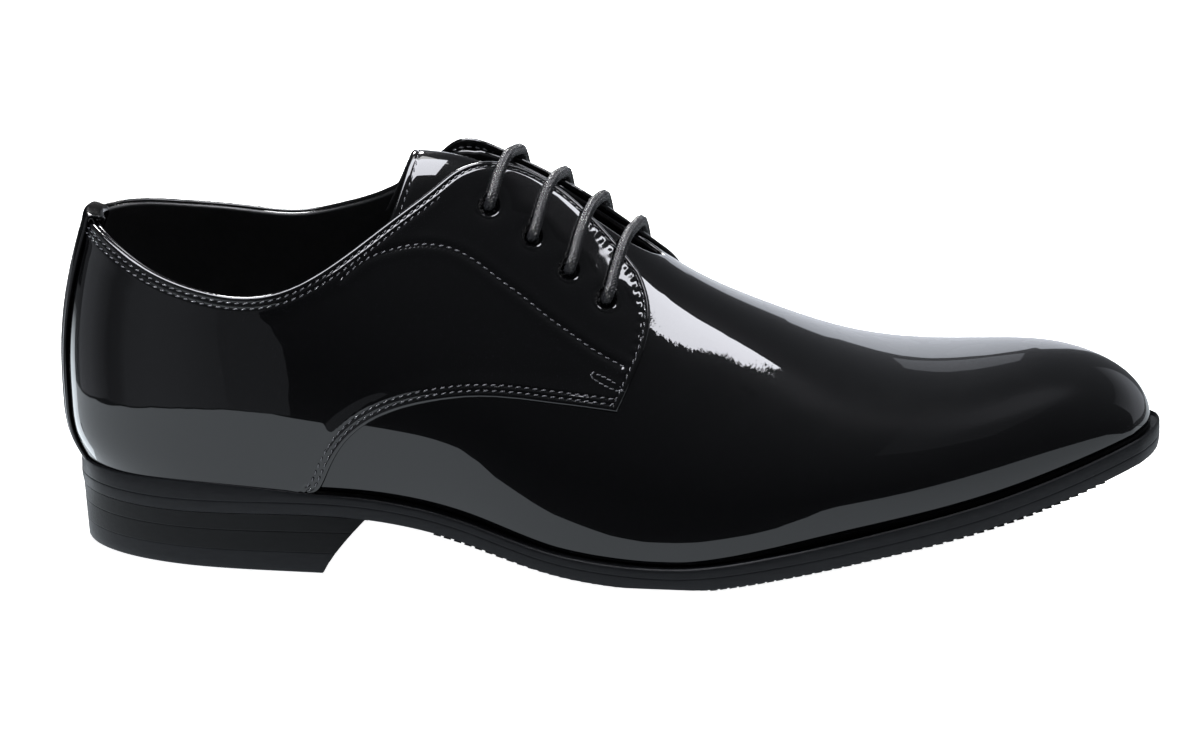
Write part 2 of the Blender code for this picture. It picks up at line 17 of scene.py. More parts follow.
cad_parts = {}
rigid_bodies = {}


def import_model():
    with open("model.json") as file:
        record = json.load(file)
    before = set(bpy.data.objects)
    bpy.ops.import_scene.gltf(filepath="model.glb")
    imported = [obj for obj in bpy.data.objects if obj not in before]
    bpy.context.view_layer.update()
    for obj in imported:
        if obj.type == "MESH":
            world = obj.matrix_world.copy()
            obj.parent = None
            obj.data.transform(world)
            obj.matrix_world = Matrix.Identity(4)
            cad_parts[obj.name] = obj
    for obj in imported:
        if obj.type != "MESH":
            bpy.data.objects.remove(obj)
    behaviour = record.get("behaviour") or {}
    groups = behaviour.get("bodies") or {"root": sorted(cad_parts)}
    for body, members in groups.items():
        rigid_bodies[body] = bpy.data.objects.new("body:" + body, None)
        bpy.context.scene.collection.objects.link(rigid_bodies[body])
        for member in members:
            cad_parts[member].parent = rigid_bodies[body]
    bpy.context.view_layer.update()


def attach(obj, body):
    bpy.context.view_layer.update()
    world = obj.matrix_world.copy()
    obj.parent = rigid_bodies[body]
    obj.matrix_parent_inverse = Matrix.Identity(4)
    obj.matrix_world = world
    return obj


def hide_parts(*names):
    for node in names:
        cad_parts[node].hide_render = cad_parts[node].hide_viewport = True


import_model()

# %% [markdown]
# The last
#
# A shoe is built round a last, a solid foot form. Its cross sections are given here by a few sizes
# in millimetres: half widths, the height of the feather line where upper meets sole, the ridge
# above it, and how tent-like the section is. A point on the last is then a function of two numbers,
# the turn (heel to toe) and the angle (from the ridge down to the feather line). Every piece is
# made from that one function, so all of them fit each other.

# %% Tables of the last
MM = 0.001
LATERAL, MEDIAL = -1.0, 1.0
LAST_LENGTH = 300.6
CENTRE_X, CENTRE_Y = 150.2, -1.14
PLAY = 0.35

SECTION_COLUMNS = ("station", "lateral", "medial", "feather", "height", "ridge", "roof", "tuck")
SECTION_ROWS = [
    (0.0, 0.0, 0.0, 23.0, 93.4, 0.0, 0.0, 110.0),
    (10.0, 19.0, 19.0, 23.0, 93.4, 0.0, 0.0, 110.0),
    (30.0, 28.5, 28.5, 23.1, 93.4, 0.3, 0.0, 110.0),
    (60.0, 32.0, 31.0, 23.1, 91.4, 1.0, 0.02, 110.0),
    (88.0, 34.5, 30.0, 21.3, 91.0, 2.0, 0.045, 110.0),
    (112.0, 38.0, 30.0, 15.9, 95.1, 3.0, 0.06, 108.0),
    (132.0, 40.2, 32.5, 9.5, 92.8, 3.5, 0.05, 101.0),
    (152.0, 42.9, 36.5, 6.4, 82.0, 4.0, 0.03, 97.5),
    (172.0, 45.0, 41.0, 6.1, 68.3, 4.0, 0.02, 97.5),
    (192.0, 46.2, 44.3, 9.3, 55.4, 4.0, 0.01, 100.0),
    (212.0, 45.6, 44.2, 13.2, 43.6, 4.5, 0.0, 105.0),
    (232.0, 42.2, 40.8, 16.9, 35.3, 5.0, -0.02, 107.0),
    (252.0, 35.4, 34.8, 20.5, 31.4, 5.0, -0.03, 107.0),
    (272.0, 26.2, 27.0, 25.0, 27.6, 5.0, -0.02, 108.0),
    (288.0, 16.8, 18.0, 29.2, 19.6, 5.0, 0.0, 110.0),
    (297.0, 8.8, 9.8, 31.6, 10.6, 5.0, 0.0, 110.0),
    (LAST_LENGTH, 0.0, 0.0, 32.4, 0.6, 5.0, 0.0, 110.0),
]
HEEL_ABOVE = (0, 9, 20, 29, 42, 57, 72, 97)
HEEL_SET_IN = (6.8, 1.8, 0.2, 0.0, 0.8, 3.6, 7.8, 15.4)
HEEL_REACH = 95.0


def named_columns(columns, rows):
    return {name: np.array([row[k] for row in rows], float) for k, name in enumerate(columns)}


SECTIONS = named_columns(SECTION_COLUMNS, SECTION_ROWS)
print("sections of the last:", len(SECTION_ROWS))


# %% The last as a function
STEP = 1e-3
SEAM_BLEND = 0.03


def spline(knots, values, at):
    """Natural cubic spline through the rows of a table."""
    knots, values, at = (np.asarray(numbers, float) for numbers in (knots, values, at))
    step = np.diff(knots)
    count = len(knots)
    system = np.eye(count)
    right = np.zeros(count)
    for i in range(1, count - 1):
        system[i, i - 1:i + 2] = step[i - 1], 2 * (step[i - 1] + step[i]), step[i]
        right[i] = 6 * ((values[i + 1] - values[i]) / step[i] - (values[i] - values[i - 1]) / step[i - 1])
    bend = np.linalg.solve(system, right)
    i = np.clip(np.searchsorted(knots, at) - 1, 0, count - 2)
    before, after, wide = at - knots[i], knots[i + 1] - at, step[i]
    curve = (bend[i] * after ** 3 + bend[i + 1] * before ** 3) / (6 * wide)
    curve += (values[i] / wide - bend[i] * wide / 6) * after
    return curve + (values[i + 1] / wide - bend[i + 1] * wide / 6) * before


def turn_of(station):
    """Stations spread like a half turn, so that heel and toe are finely divided."""
    return np.arccos(np.clip(1 - 2 * np.asarray(station, float) / LAST_LENGTH, -1, 1))


def station_of(turn):
    return LAST_LENGTH * (1 - np.cos(turn)) / 2


def column(table, name, turn):
    return spline(turn_of(table["station"]), table[name], turn)


def tuck(turn):
    """The angle at which a section ends on the feather line."""
    return np.radians(column(SECTIONS, "tuck", turn))


def last(turn, angle):
    """A point of the last: angle 0 is the ridge, negative angles are on the lateral side."""
    turn, angle = np.broadcast_arrays(np.asarray(turn, float), np.asarray(angle, float))
    lateral, medial, feather, height, ridge, roof = (
        column(SECTIONS, name, turn) for name in SECTION_COLUMNS[1:7])
    across = (np.sin(angle) - roof * np.sin(3 * angle)) / (1 + roof)
    upward = (np.cos(angle) + roof * np.cos(3 * angle)) / (1 + roof)
    end = tuck(turn)
    low = (np.cos(end) + roof * np.cos(3 * end)) / (1 + roof)
    half = (lateral + medial) / 2
    lean = ((medial - lateral) / 2 - ridge) * np.minimum(1, half / 12)
    y = ridge + half * across + lean * across ** 2
    above = height * (upward - low) / (1 - low)
    fade = np.clip(1 - station_of(turn) / HEEL_REACH, 0, 1)
    fade = fade * fade * (3 - 2 * fade)
    set_in = spline(HEEL_ABOVE, HEEL_SET_IN, np.clip(above, 0, HEEL_ABOVE[-1]))
    return np.stack([station_of(turn) + fade * set_in, y, feather + above], -1)


def outward(turn, angle):
    """The last's outward direction, made even across the heel seam and the toe's tip."""
    turn, angle = np.broadcast_arrays(np.asarray(turn, float), np.asarray(angle, float))
    at = np.clip(turn, SEAM_BLEND, math.pi - SEAM_BLEND)
    along = last(at + STEP, angle) - last(at - STEP, angle)
    round_it = last(at, angle + STEP) - last(at, angle - STEP)
    normal = np.cross(along, round_it)
    normal /= np.linalg.norm(normal, axis=-1, keepdims=True)
    normal[..., 1] *= np.clip(turn / SEAM_BLEND, 0, 1)
    tip = np.clip((turn - math.pi + SEAM_BLEND) / SEAM_BLEND, 0, 1)[..., None]
    normal = normal * (1 - tip) + tip * np.array([1.0, 0.0, 0.0])
    return normal / np.linalg.norm(normal, axis=-1, keepdims=True)


def skin(turn, angle, off):
    """A point at a distance from the last, kept above the welt at the foot."""
    point = last(turn, angle) + np.asarray(off, float)[..., None] * outward(turn, angle)
    feather = column(SECTIONS, "feather", np.broadcast_to(turn, point.shape[:-1]))
    point[..., 2] = np.maximum(point[..., 2], feather + PLAY)
    return point


print("highest point of the last: %.1f mm" % last(np.linspace(0, math.pi, 90), np.zeros(90))[:, 2].max())

# %% [markdown]
# Small tools for meshes and nodes
#
# Two kinds of helper serve every piece. One turns arrays of points in last millimetres into a
# Blender mesh in the frame's metres, welds it and points its faces outward. The other adds a node
# to any tree, shader or geometry, with its settings and its links in one call.

# %% Mesh helper
ROOT = "root"


def to_frame(points):
    """Last millimetres to the frame's metres."""
    return (np.asarray(points, float) - np.array([CENTRE_X, CENTRE_Y, 0.0])) * MM


def make_piece(name, points, faces, materials, slots=None, sharp=None, attributes=None):
    """One mesh object at the origin, welded, with outward faces and smooth shading."""
    mesh = bpy.data.meshes.new(name)
    mesh.from_pydata(to_frame(points).tolist(), [], [[int(v) for v in face] for face in faces])
    for material in materials:
        mesh.materials.append(material)
    if slots is not None:
        mesh.polygons.foreach_set("material_index", np.asarray(slots, np.int32))
    for label, values in (attributes or {}).items():
        layer = mesh.attributes.new(label, "FLOAT", "POINT")
        layer.data.foreach_set("value", np.asarray(values, np.float32))
    shape = bmesh.new()
    shape.from_mesh(mesh)
    bmesh.ops.remove_doubles(shape, verts=shape.verts[:], dist=1e-6)
    bmesh.ops.recalc_face_normals(shape, faces=shape.faces[:])
    shape.to_mesh(mesh)
    shape.free()
    mesh.shade_smooth()
    if sharp is not None:
        mesh.set_sharp_from_angle(angle=math.radians(sharp))
    item = bpy.data.objects.new(name, mesh)
    bpy.context.scene.collection.objects.link(item)
    print("%s: %d faces" % (name, len(mesh.polygons)))
    return item


def dress(item, slot, *nodes):
    """The piece rides on the shoe's one body and stands for its solids; its finish slot is not used."""
    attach(item, ROOT)
    if nodes:
        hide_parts(*nodes)
    return item


# %% Node helper
def fill(tree, node, inputs):
    """Fill a node's inputs, by name or number, with values or links."""
    for socket, value in inputs.items():
        if isinstance(value, bpy.types.NodeSocket):
            tree.links.new(value, node.inputs[socket])
        else:
            node.inputs[socket].default_value = value


def add(tree, kind, inputs=None, **settings):
    """Add a node with its options, and fill its inputs."""
    node = tree.nodes.new(kind)
    for option, value in settings.items():
        setattr(node, option, value)
    fill(tree, node, inputs or {})
    return node


def linear(text, strength=1.0):
    """sRGB hex to the linear colour that shaders use."""
    parts = [int(text[k:k + 2], 16) / 255 for k in (1, 3, 5)]
    parts = [p / 12.92 if p <= 0.04045 else ((p + 0.055) / 1.055) ** 2.4 for p in parts]
    return [p * strength for p in parts] + [1.0]


def start_material(name):
    """A material with an empty Principled shader, and its Object coordinates."""
    material = bpy.data.materials.new(name)
    material.use_nodes = True
    tree = material.node_tree
    return material, tree, tree.nodes["Principled BSDF"], add(tree, "ShaderNodeTexCoord").outputs["Object"]


def per_mm(size):
    """Texture scale for a feature of a size in millimetres."""
    return 1.0 / (size * MM)


# %% [markdown]
# Camera
#
# The photograph looks at the lateral side from a little above. A long lens far away keeps the
# shoe's lines nearly parallel, as in a catalogue picture. The shoe stands a little off the middle
# of the frame, which is a shift of the lens and not a turn of the camera.

# %% Camera
VIEW_ELEVATION = math.radians(17.5)
VIEW_DISTANCE = 1400.0
VIEW_TARGET = np.array([152.0, 0.0, 50.0])
PIXELS_PER_MM = 3.56
FRAME_PIXELS = (1200, 756)
TARGET_PIXEL = (619.0, 364.5)
SENSOR = 36.0

camera = bpy.data.cameras.new("photo camera")
camera.sensor_width = SENSOR
camera.lens = PIXELS_PER_MM * VIEW_DISTANCE * SENSOR / FRAME_PIXELS[0]
camera.shift_x = (FRAME_PIXELS[0] / 2 - TARGET_PIXEL[0]) / FRAME_PIXELS[0]
camera.shift_y = (TARGET_PIXEL[1] - FRAME_PIXELS[1] / 2) / FRAME_PIXELS[0]
camera.clip_end = 50.0
viewer = bpy.data.objects.new("photo camera", camera)
back_off = np.array([0.0, -math.cos(VIEW_ELEVATION), math.sin(VIEW_ELEVATION)]) * VIEW_DISTANCE
viewer.location = to_frame(VIEW_TARGET + back_off)
viewer.rotation_euler = (math.pi / 2 - VIEW_ELEVATION, 0.0, 0.0)
bpy.context.scene.collection.objects.link(viewer)
bpy.context.scene.camera = viewer
bpy.context.scene.view_settings.view_transform = "Standard"
print("lens %.1f mm, shift %.4f %.4f" % (camera.lens, camera.shift_x, camera.shift_y))

# %% [markdown]
# Materials
#
# Patent leather is fine leather under a poured, clear lacquer. The eye sees two layers: a mirror
# on top that is almost flat, and a black ground below it that gives nothing back. So the mirror is
# the shader's coat, with a very faint waviness, and the leather under it has its own soft grain.

# %% Patent leather
PEEL, GRAIN, WRINKLE = 7.0, 0.7, 1.8


def lacquered_patent_leather():
    """Black calf under poured lacquer: a mirror with a faint waviness over a soft black grain."""
    material, tree, shader, place = start_material("patent leather, black calf under poured lacquer")
    noises = [
        add(tree, "ShaderNodeTexNoise", {"Vector": place, "Scale": per_mm(size), "Detail": detail})
        for size, detail in ((GRAIN, 4.0), (PEEL, 1.0), (WRINKLE, 3.0))]
    grain, peel, fine = (noise.outputs["Fac"] for noise in noises)
    tone = add(tree, "ShaderNodeValToRGB", {"Fac": grain})
    tone.color_ramp.elements[0].color = linear("#010102")
    tone.color_ramp.elements[1].color = linear("#040405")
    under = add(tree, "ShaderNodeBump", {"Height": grain, "Distance": 0.02 * MM})
    wave = add(tree, "ShaderNodeBump", {"Height": peel, "Distance": 0.012 * MM})
    worn = add(tree, "ShaderNodeAttribute", attribute_name="flex").outputs["Fac"]
    flex = add(tree, "ShaderNodeBump", {
        "Height": fine, "Strength": worn, "Distance": 0.028 * MM, "Normal": wave.outputs["Normal"]})
    haze = add(tree, "ShaderNodeMapRange", {"Value": peel, "To Min": 0.22, "To Max": 0.34})
    fill(tree, shader, {
        "Base Color": tone.outputs["Color"], "Roughness": haze.outputs["Result"],
        "Normal": under.outputs["Normal"], "Coat Normal": flex.outputs["Normal"],
        "Specular IOR Level": 0.02, "Coat Weight": 1.0, "Coat Roughness": 0.02, "Coat IOR": 1.52})
    return material


patent = lacquered_patent_leather()
print("material:", patent.name)


# %% Lining, sock, rubber, cord and thread
def dyed_leather(name, dark, light, grain, rough, depth):
    """Dyed leather with no lacquer: pores in the colour, the gloss and the height."""
    material, tree, shader, place = start_material(name)
    pores = add(tree, "ShaderNodeTexVoronoi", {"Vector": place, "Scale": per_mm(grain)})
    cloud = add(tree, "ShaderNodeTexNoise", {"Vector": place, "Scale": per_mm(grain * 9), "Detail": 3.0})
    tone = add(tree, "ShaderNodeValToRGB", {"Fac": cloud.outputs["Fac"]})
    tone.color_ramp.elements[0].color = linear(dark)
    tone.color_ramp.elements[1].color = linear(light)
    gloss = add(tree, "ShaderNodeMapRange", {
        "Value": cloud.outputs["Fac"], "To Min": rough - 0.08, "To Max": rough + 0.08})
    bump = add(tree, "ShaderNodeBump", {"Height": pores.outputs["Distance"], "Distance": depth * MM})
    fill(tree, shader, {
        "Base Color": tone.outputs["Color"], "Roughness": gloss.outputs["Result"],
        "Normal": bump.outputs["Normal"]})
    return material


def moulded_rubber(name, dark, light, rough):
    """Moulded and trimmed rubber: satin, with a fine dry speckle and faint trimming marks along it."""
    material, tree, shader, place = start_material(name)
    stretch = add(tree, "ShaderNodeMapping", {"Vector": place, "Scale": (0.12, 1.0, 1.0)})
    marks = add(tree, "ShaderNodeTexNoise", {
        "Vector": stretch.outputs["Vector"], "Scale": per_mm(1.2), "Detail": 5.0})
    speckle = add(tree, "ShaderNodeTexNoise", {"Vector": place, "Scale": per_mm(0.5), "Detail": 2.0})
    tone = add(tree, "ShaderNodeValToRGB", {"Fac": marks.outputs["Fac"]})
    tone.color_ramp.elements[0].color = linear(dark)
    tone.color_ramp.elements[1].color = linear(light)
    gloss = add(tree, "ShaderNodeMapRange", {
        "Value": speckle.outputs["Fac"], "To Min": rough - 0.1, "To Max": rough + 0.1})
    bump = add(tree, "ShaderNodeBump", {
        "Height": marks.outputs["Fac"], "Strength": 0.6, "Distance": 0.06 * MM})
    fill(tree, shader, {
        "Base Color": tone.outputs["Color"], "Roughness": gloss.outputs["Result"],
        "Normal": bump.outputs["Normal"], "Specular IOR Level": 0.12})
    return material


def spun_fibre(name, dark, light, fibre, rough):
    """Waxed yarn: fine fibres show as streaks in colour and height, with a waxy gloss."""
    material, tree, shader, place = start_material(name)
    fibres = add(tree, "ShaderNodeTexNoise", {"Vector": place, "Scale": per_mm(fibre), "Detail": 3.0})
    tone = add(tree, "ShaderNodeValToRGB", {"Fac": fibres.outputs["Fac"]})
    tone.color_ramp.elements[0].color = linear(dark)
    tone.color_ramp.elements[1].color = linear(light)
    bump = add(tree, "ShaderNodeBump", {"Height": fibres.outputs["Fac"], "Distance": 0.05 * MM})
    fill(tree, shader, {
        "Base Color": tone.outputs["Color"], "Normal": bump.outputs["Normal"], "Roughness": rough})
    return material


lining = dyed_leather("lining leather, dyed black and glazed", "#0a0a0b", "#141416", 0.8, 0.5, 0.05)
sock = dyed_leather("sock leather, dyed black and matt", "#121213", "#1c1c1e", 0.9, 0.65, 0.06)
rubber = moulded_rubber("sole rubber, moulded and trimmed", "#141518", "#1f2124", 0.42)
stack = moulded_rubber("heel rubber, stacked and trimmed", "#0a0b0c", "#121315", 0.45)
cord = spun_fibre("waxed cotton cord, braided", "#08080a", "#17181b", 0.25, 0.24)
thread = spun_fibre("bonded thread, twisted and waxed", "#202124", "#4a4b50", 0.2, 0.2)
print("materials:", len(bpy.data.materials))

# %% [markdown]
# Walls of leather
#
# A leather panel is a sheet with a thickness, a rolled edge and holes. Solidify could give it a
# thickness, but not the soft roll at a cut edge. Here each panel is a fine grid on the last with
# two layers. The layers close up near an edge like a quarter round, boundary edges are found by
# counting, and a rim joins the two layers there.

# %% Wall helpers
def grid_faces(rows, lines):
    """Quads over a grid of points that is stored row by row."""
    first = (np.arange(rows - 1)[:, None] * lines + np.arange(lines - 1)[None, :]).ravel()
    return np.stack([first, first + 1, first + lines + 1, first + lines], -1)


def roll(distance, radius):
    """Quarter round: 0 at an edge, 1 from a radius on."""
    near = np.clip(distance / radius, 0, 1)
    return np.sqrt(np.clip(1 - (1 - near) ** 2, 0, 1))


def dent(distance, width):
    """Soft trough, 1 in the middle."""
    return np.exp(-(distance / width) ** 2)


def ease(value, start, end):
    """0 before a start, 1 after an end, and an even change between them."""
    share = np.clip((value - start) / (end - start), 0, 1)
    return share * share * (3 - 2 * share)


def nearest(points, samples):
    """Distance to the nearest of some samples, and which one it is."""
    tree = kdtree.KDTree(len(samples))
    for number, sample in enumerate(samples):
        tree.insert(sample, number)
    tree.balance()
    found = [tree.find(point)[1:] for point in points.reshape(-1, 3)]
    number, gap = np.array(found, float).T
    return gap.reshape(points.shape[:-1]), number.astype(int).reshape(points.shape[:-1])


def open_holes(layers, faces, holes, radius):
    """Punch round holes: points inside move to the circle, and faces inside go."""
    inside = np.zeros(len(layers[0]), bool)
    for turn, angle in holes:
        centre, axis = last(turn, angle), outward(turn, angle)
        for layer in layers:
            spoke = layer - centre
            spoke = spoke - (spoke @ axis)[:, None] * axis
            length = np.linalg.norm(spoke, axis=1)
            near = (length < radius) & (np.linalg.norm(layer - centre, axis=1) < 3 * radius)
            layer[near] += spoke[near] * (radius / np.maximum(length[near], 1e-6) - 1)[:, None]
            inside |= near
    return faces[~inside[faces].all(axis=1)]


def close_wall(name, layers, faces, materials, attributes=None):
    """Weld one layer, give the other the same order, and join them at every open edge."""
    outer, inner = layers
    _, first, index = np.unique(np.round(outer, 3), axis=0, return_index=True, return_inverse=True)
    index = index.ravel()
    outer, inner = outer[first], inner[first]
    faces = [list(dict.fromkeys(face)) for face in index[faces].tolist()]
    faces = [face for face in faces if len(face) > 2]
    count = {}
    for face in faces:
        for a, b in zip(face, face[1:] + face[:1]):
            edge = (min(a, b), max(a, b))
            count[edge] = count.get(edge, 0) + 1
    size = len(outer)
    rim = [[a, b, b + size, a + size] for (a, b), times in count.items() if times == 1]
    back = [[v + size for v in face[::-1]] for face in faces]
    slots = [0] * len(faces) + [len(materials) - 1] * len(back) + [0] * len(rim)
    doubled = {label: np.concatenate([values[first]] * 2) for label, values in (attributes or {}).items()}
    return make_piece(name, np.concatenate([outer, inner]), faces + back + rim, materials, slots,
                      attributes=doubled)


print("wall helpers ready")

# %% [markdown]
# Quarters: the tables
#
# A derby's quarters are the two side panels that lie over the vamp and carry the eyelets. Their
# edges are given in stations along the last and degrees from its ridge: the foot edge follows the
# feather line and then swoops up to the front, and the top edge is the collar and the facing.

# %% Quarter and throat tables
QUARTER_COLUMNS = ("foot", "foot_deg", "top", "top_deg")
QUARTER_LATERAL = named_columns(QUARTER_COLUMNS, [
    (0.0, 110.0, 0.0, 47.9), (10.0, 110.0, 9.8, 53.2), (25.0, 110.0, 24.0, 59.4),
    (45.0, 110.0, 43.0, 62.1), (62.0, 110.0, 59.0, 58.5), (69.5, 106.8, 73.0, 49.2),
    (76.2, 95.2, 87.0, 37.2), (87.8, 85.0, 100.0, 25.6), (104.2, 77.1, 108.6, 16.0),
    (124.0, 68.6, 122.0, 8.4), (140.0, 63.8, 138.0, 10.0), (151.6, 61.5, 157.2, 22.4),
])
QUARTER_MEDIAL = named_columns(QUARTER_COLUMNS, [
    (0.0, 110.0, 0.0, 47.9), (10.0, 110.0, 10.0, 48.6), (25.0, 110.0, 25.0, 51.5),
    (45.0, 110.0, 43.0, 52.3), (62.0, 110.0, 59.0, 50.9), (69.5, 106.8, 73.0, 45.1),
    (76.2, 95.2, 87.0, 36.8), (88.0, 85.6, 100.0, 23.9), (105.0, 77.8, 109.0, 12.5),
    (126.0, 69.4, 124.0, 11.5), (144.0, 64.0, 144.0, 9.0), (157.0, 61.5, 168.0, 14.0),
])
FRONT_BULGE, UPPER_BULGE, FRONT_FADE = 3.5, 1.5, 12
FRONT_CORNER = 0.2
QUARTER_LATERAL["rounding"], QUARTER_MEDIAL["rounding"] = 0.8, 3.5
SEAM_TURN = 0.07
SLOT_DEG, SLOT_START, SLOT_ROUND, SLOT_END = 10.0, 112.0, 150.0, 163.0
EYELET_COLUMNS = ("lateral", "lateral_deg", "medial", "medial_deg", "near_edge", "far_edge")
EYELETS = named_columns(EYELET_COLUMNS, [
    (115.8, 26.8, 126.0, 26.0, 8.0, 9.0), (127.6, 30.2, 138.0, 27.0, 9.0, 8.5),
    (137.8, 33.8, 148.5, 28.0, 11.0, 7.5), (148.0, 36.2, 158.5, 29.0, 14.0, 8.0),
])
EYELET_RADIUS = 2.4
UPPER_WALL, GAP, QUARTER_WALL = 1.6, 0.35, 1.2
SIDES = ((LATERAL, "lateral", QUARTER_LATERAL), (MEDIAL, "medial", QUARTER_MEDIAL))


def table_curve(table, name, share):
    return spline(np.linspace(0, 1, len(table[name])), table[name], share)


def topline(table, station):
    """Degrees from the ridge where the upper is open: collar, then the slot between the facings."""
    share = np.linspace(0, 1, 200)
    edge = np.interp(station, table_curve(table, "top", share), table_curve(table, "top_deg", share))
    close = np.clip((station - SLOT_ROUND) / (SLOT_END - SLOT_ROUND), 0, 1)
    slot = SLOT_DEG * np.sqrt(1 - close * close)
    return np.where(station < SLOT_START, np.maximum(edge, SLOT_DEG), slot)


def eyelet_places(side, edge):
    """Turn and angle of the four holes on one side."""
    return [(turn_of(station), side * math.radians(degrees))
            for station, degrees in zip(EYELETS[edge], EYELETS[edge + "_deg"])]


print("eyelets a side:", len(eyelet_places(LATERAL, "lateral")))

# %% [markdown]
# The vamp and its lining
#
# The vamp runs from the toe back under the quarters and is the shoe's main skin: patent outside,
# lining inside. It is two grids, one a side, that weld at the ridge, the toe and the heel. Soft
# creases are placed where the foot would bend the vamp, each a long shallow trough with a
# ridge beside it, and a belt of finer wrinkles is handed to the lacquer as the attribute "flex".

# %% Vamp shell
SHELL_TURNS = 260
TOP_LINES = (0.0, 0.0018, 0.0042, 0.0075, 0.012, 0.019, 0.03)
SHELL_LINES = 52
RIM_RADIUS = 0.75
CREASE_COLUMNS = ("station", "degrees", "heading", "length", "width", "depth")
CREASES = named_columns(CREASE_COLUMNS, [
    (176.0, -38.0, 62.0, 16.0, 4.0, 0.10),
    (184.0, -44.0, 70.0, 18.0, 5.0, 0.12),
    (194.0, -40.0, 75.0, 20.0, 5.5, 0.08),
    (182.0, 36.0, -68.0, 18.0, 5.0, 0.10),
    (192.0, 42.0, -74.0, 20.0, 5.0, 0.10),
])
CREASE_RIDGE = 0.5
FLEX_TOP, FLEX_FOOT, FLEX_END = (29.0, 34.0), (44.0, 60.0), (186.0, 200.0)


def crease_depth(point):
    """How deep the listed creases press into the vamp at some points."""
    depth = np.zeros(point.shape[:-1])
    for station, degrees, heading, length, width, deep in zip(*(CREASES[name] for name in CREASE_COLUMNS)):
        turn, angle = turn_of(station), math.radians(degrees)
        centre, normal = last(turn, angle), outward(turn, angle)
        ahead = last(turn + STEP, angle) - last(turn - STEP, angle)
        ahead /= np.linalg.norm(ahead)
        aside = np.cross(normal, ahead)
        heading = math.radians(heading)
        run = (point - centre) @ (math.cos(heading) * ahead + math.sin(heading) * aside)
        gap = (point - centre) @ (math.cos(heading) * aside - math.sin(heading) * ahead)
        trough = dent(gap, width) - CREASE_RIDGE * dent(gap - 2 * width, width)
        depth += deep * dent(run, length) * trough
    return depth


def flexed(turn, angle):
    """Where the bend of the foot has left fine wrinkles: a belt in front of the lateral quarter."""
    station, degrees = station_of(turn), np.degrees(abs(angle))
    belt = ease(degrees, *FLEX_TOP) * (1 - ease(degrees, *FLEX_FOOT))
    return belt * (1 - ease(station, *FLEX_END))


def vamp_shell():
    turns = np.linspace(0, math.pi, SHELL_TURNS)
    climb = np.concatenate([TOP_LINES, np.linspace(0.045, 1, SHELL_LINES)])[None, :]
    outer, inner, faces, flex, holes = [], [], [], [], []
    for side, edge, table in SIDES:
        top = np.radians(topline(table, station_of(turns)))[:, None]
        angle = side * (top + (tuck(turns)[:, None] - top) * climb)
        turn = np.broadcast_to(turns[:, None], angle.shape)
        base = last(turn, angle)
        fine = np.linspace(0, turn_of(SLOT_END), 1500)
        rim = last(fine, side * np.radians(topline(table, station_of(fine))))
        gap, _ = nearest(base, rim)
        close = roll(gap, RIM_RADIUS)
        middle = UPPER_WALL / 2
        faces.append(grid_faces(*angle.shape) + sum(len(part) for part in outer))
        outer.append(skin(turn, angle, middle + middle * close - crease_depth(base)).reshape(-1, 3))
        inner.append(skin(turn, angle, middle - middle * close).reshape(-1, 3))
        flex.append(flexed(turn, angle).ravel())
        holes += eyelet_places(side, edge)
    layers = [np.concatenate(outer), np.concatenate(inner)]
    faces = open_holes(layers, np.concatenate(faces), holes, EYELET_RADIUS)
    return close_wall("vamp", layers, faces, [patent, lining], {"flex": np.concatenate(flex)})


dress(vamp_shell(), "patent_leather", "upper")

# %% [markdown]
# The quarters
#
# Each quarter is folded at its edge and sewn down with rows of stitches. The fold stands up like a
# small bead, and every row pulls the leather into a narrow trough. The grid is dense near the
# edges so that bead and troughs are real shape. Its height is worked out from the true distance to
# the edge, and from the distance to the seam that curves below the eyelets.

# %% Quarter edges and seams
EDGE_LINES, EDGE_BAND = 22, 5.0
MIDDLE_LINES = 60
LONG_RIBS, FRONT_RIBS, FRONT_SHARE = 330, 60, 0.955
EDGE_ROLL = 1.0
EDGE_LIP = 0.3
ROW_GAPS = (1.7, 3.2)
ROW_DIP, ROW_WIDTH = 0.3, 0.42
STITCH_PITCH = 2.3
PUCKER, PUCKER_PITCH, PUCKER_GAP, PUCKER_WIDTH = 0.10, 3.4, 2.7, 1.0
PUCKER_START, PUCKER_DEG = 145.0, 60.5
EDGE_FOLD, FOLD_FADE = 0.35, (2.0, 8.0)
SEAM_DIP, SEAM_WIDTH, SEAM_PUFF, PUFF_GAP, PUFF_WIDTH = 0.4, 0.55, 0.12, 2.0, 1.2
FLAP_LIFT, FLAP_PLACE, FLAP_LONG, FLAP_DEG = {"lateral": 0.0, "medial": 2.6}, 107.0, 14.0, 26.0
CORNER_SHARE, CORNER_SHARP = 0.93, 10
SWOOP_START, COLLAR_END, SWOOP_DEG = 66.0, 100.0, 60.0
SEAM_LATERAL = [
    (75.4, 53.0), (81.9, 47.1), (89.4, 43.4), (96.3, 41.3), (103.3, 40.7), (108.6, 41.3), (114.0, 42.8),
    (119.4, 44.5), (125.8, 45.8), (131.3, 47.2), (138.7, 48.6), (145.2, 49.9), (152.6, 50.6),
]
SEAM_MEDIAL = [
    (75.4, 48.5), (81.9, 45.0), (89.4, 42.0), (97.0, 40.6), (104.5, 40.4), (111.0, 41.3), (117.0, 42.8),
    (123.0, 44.5), (130.0, 45.8), (136.5, 47.2), (145.0, 48.6), (152.0, 49.9), (159.5, 50.6),
]
FACING_SEAM = {"lateral": SEAM_LATERAL, "medial": SEAM_MEDIAL}


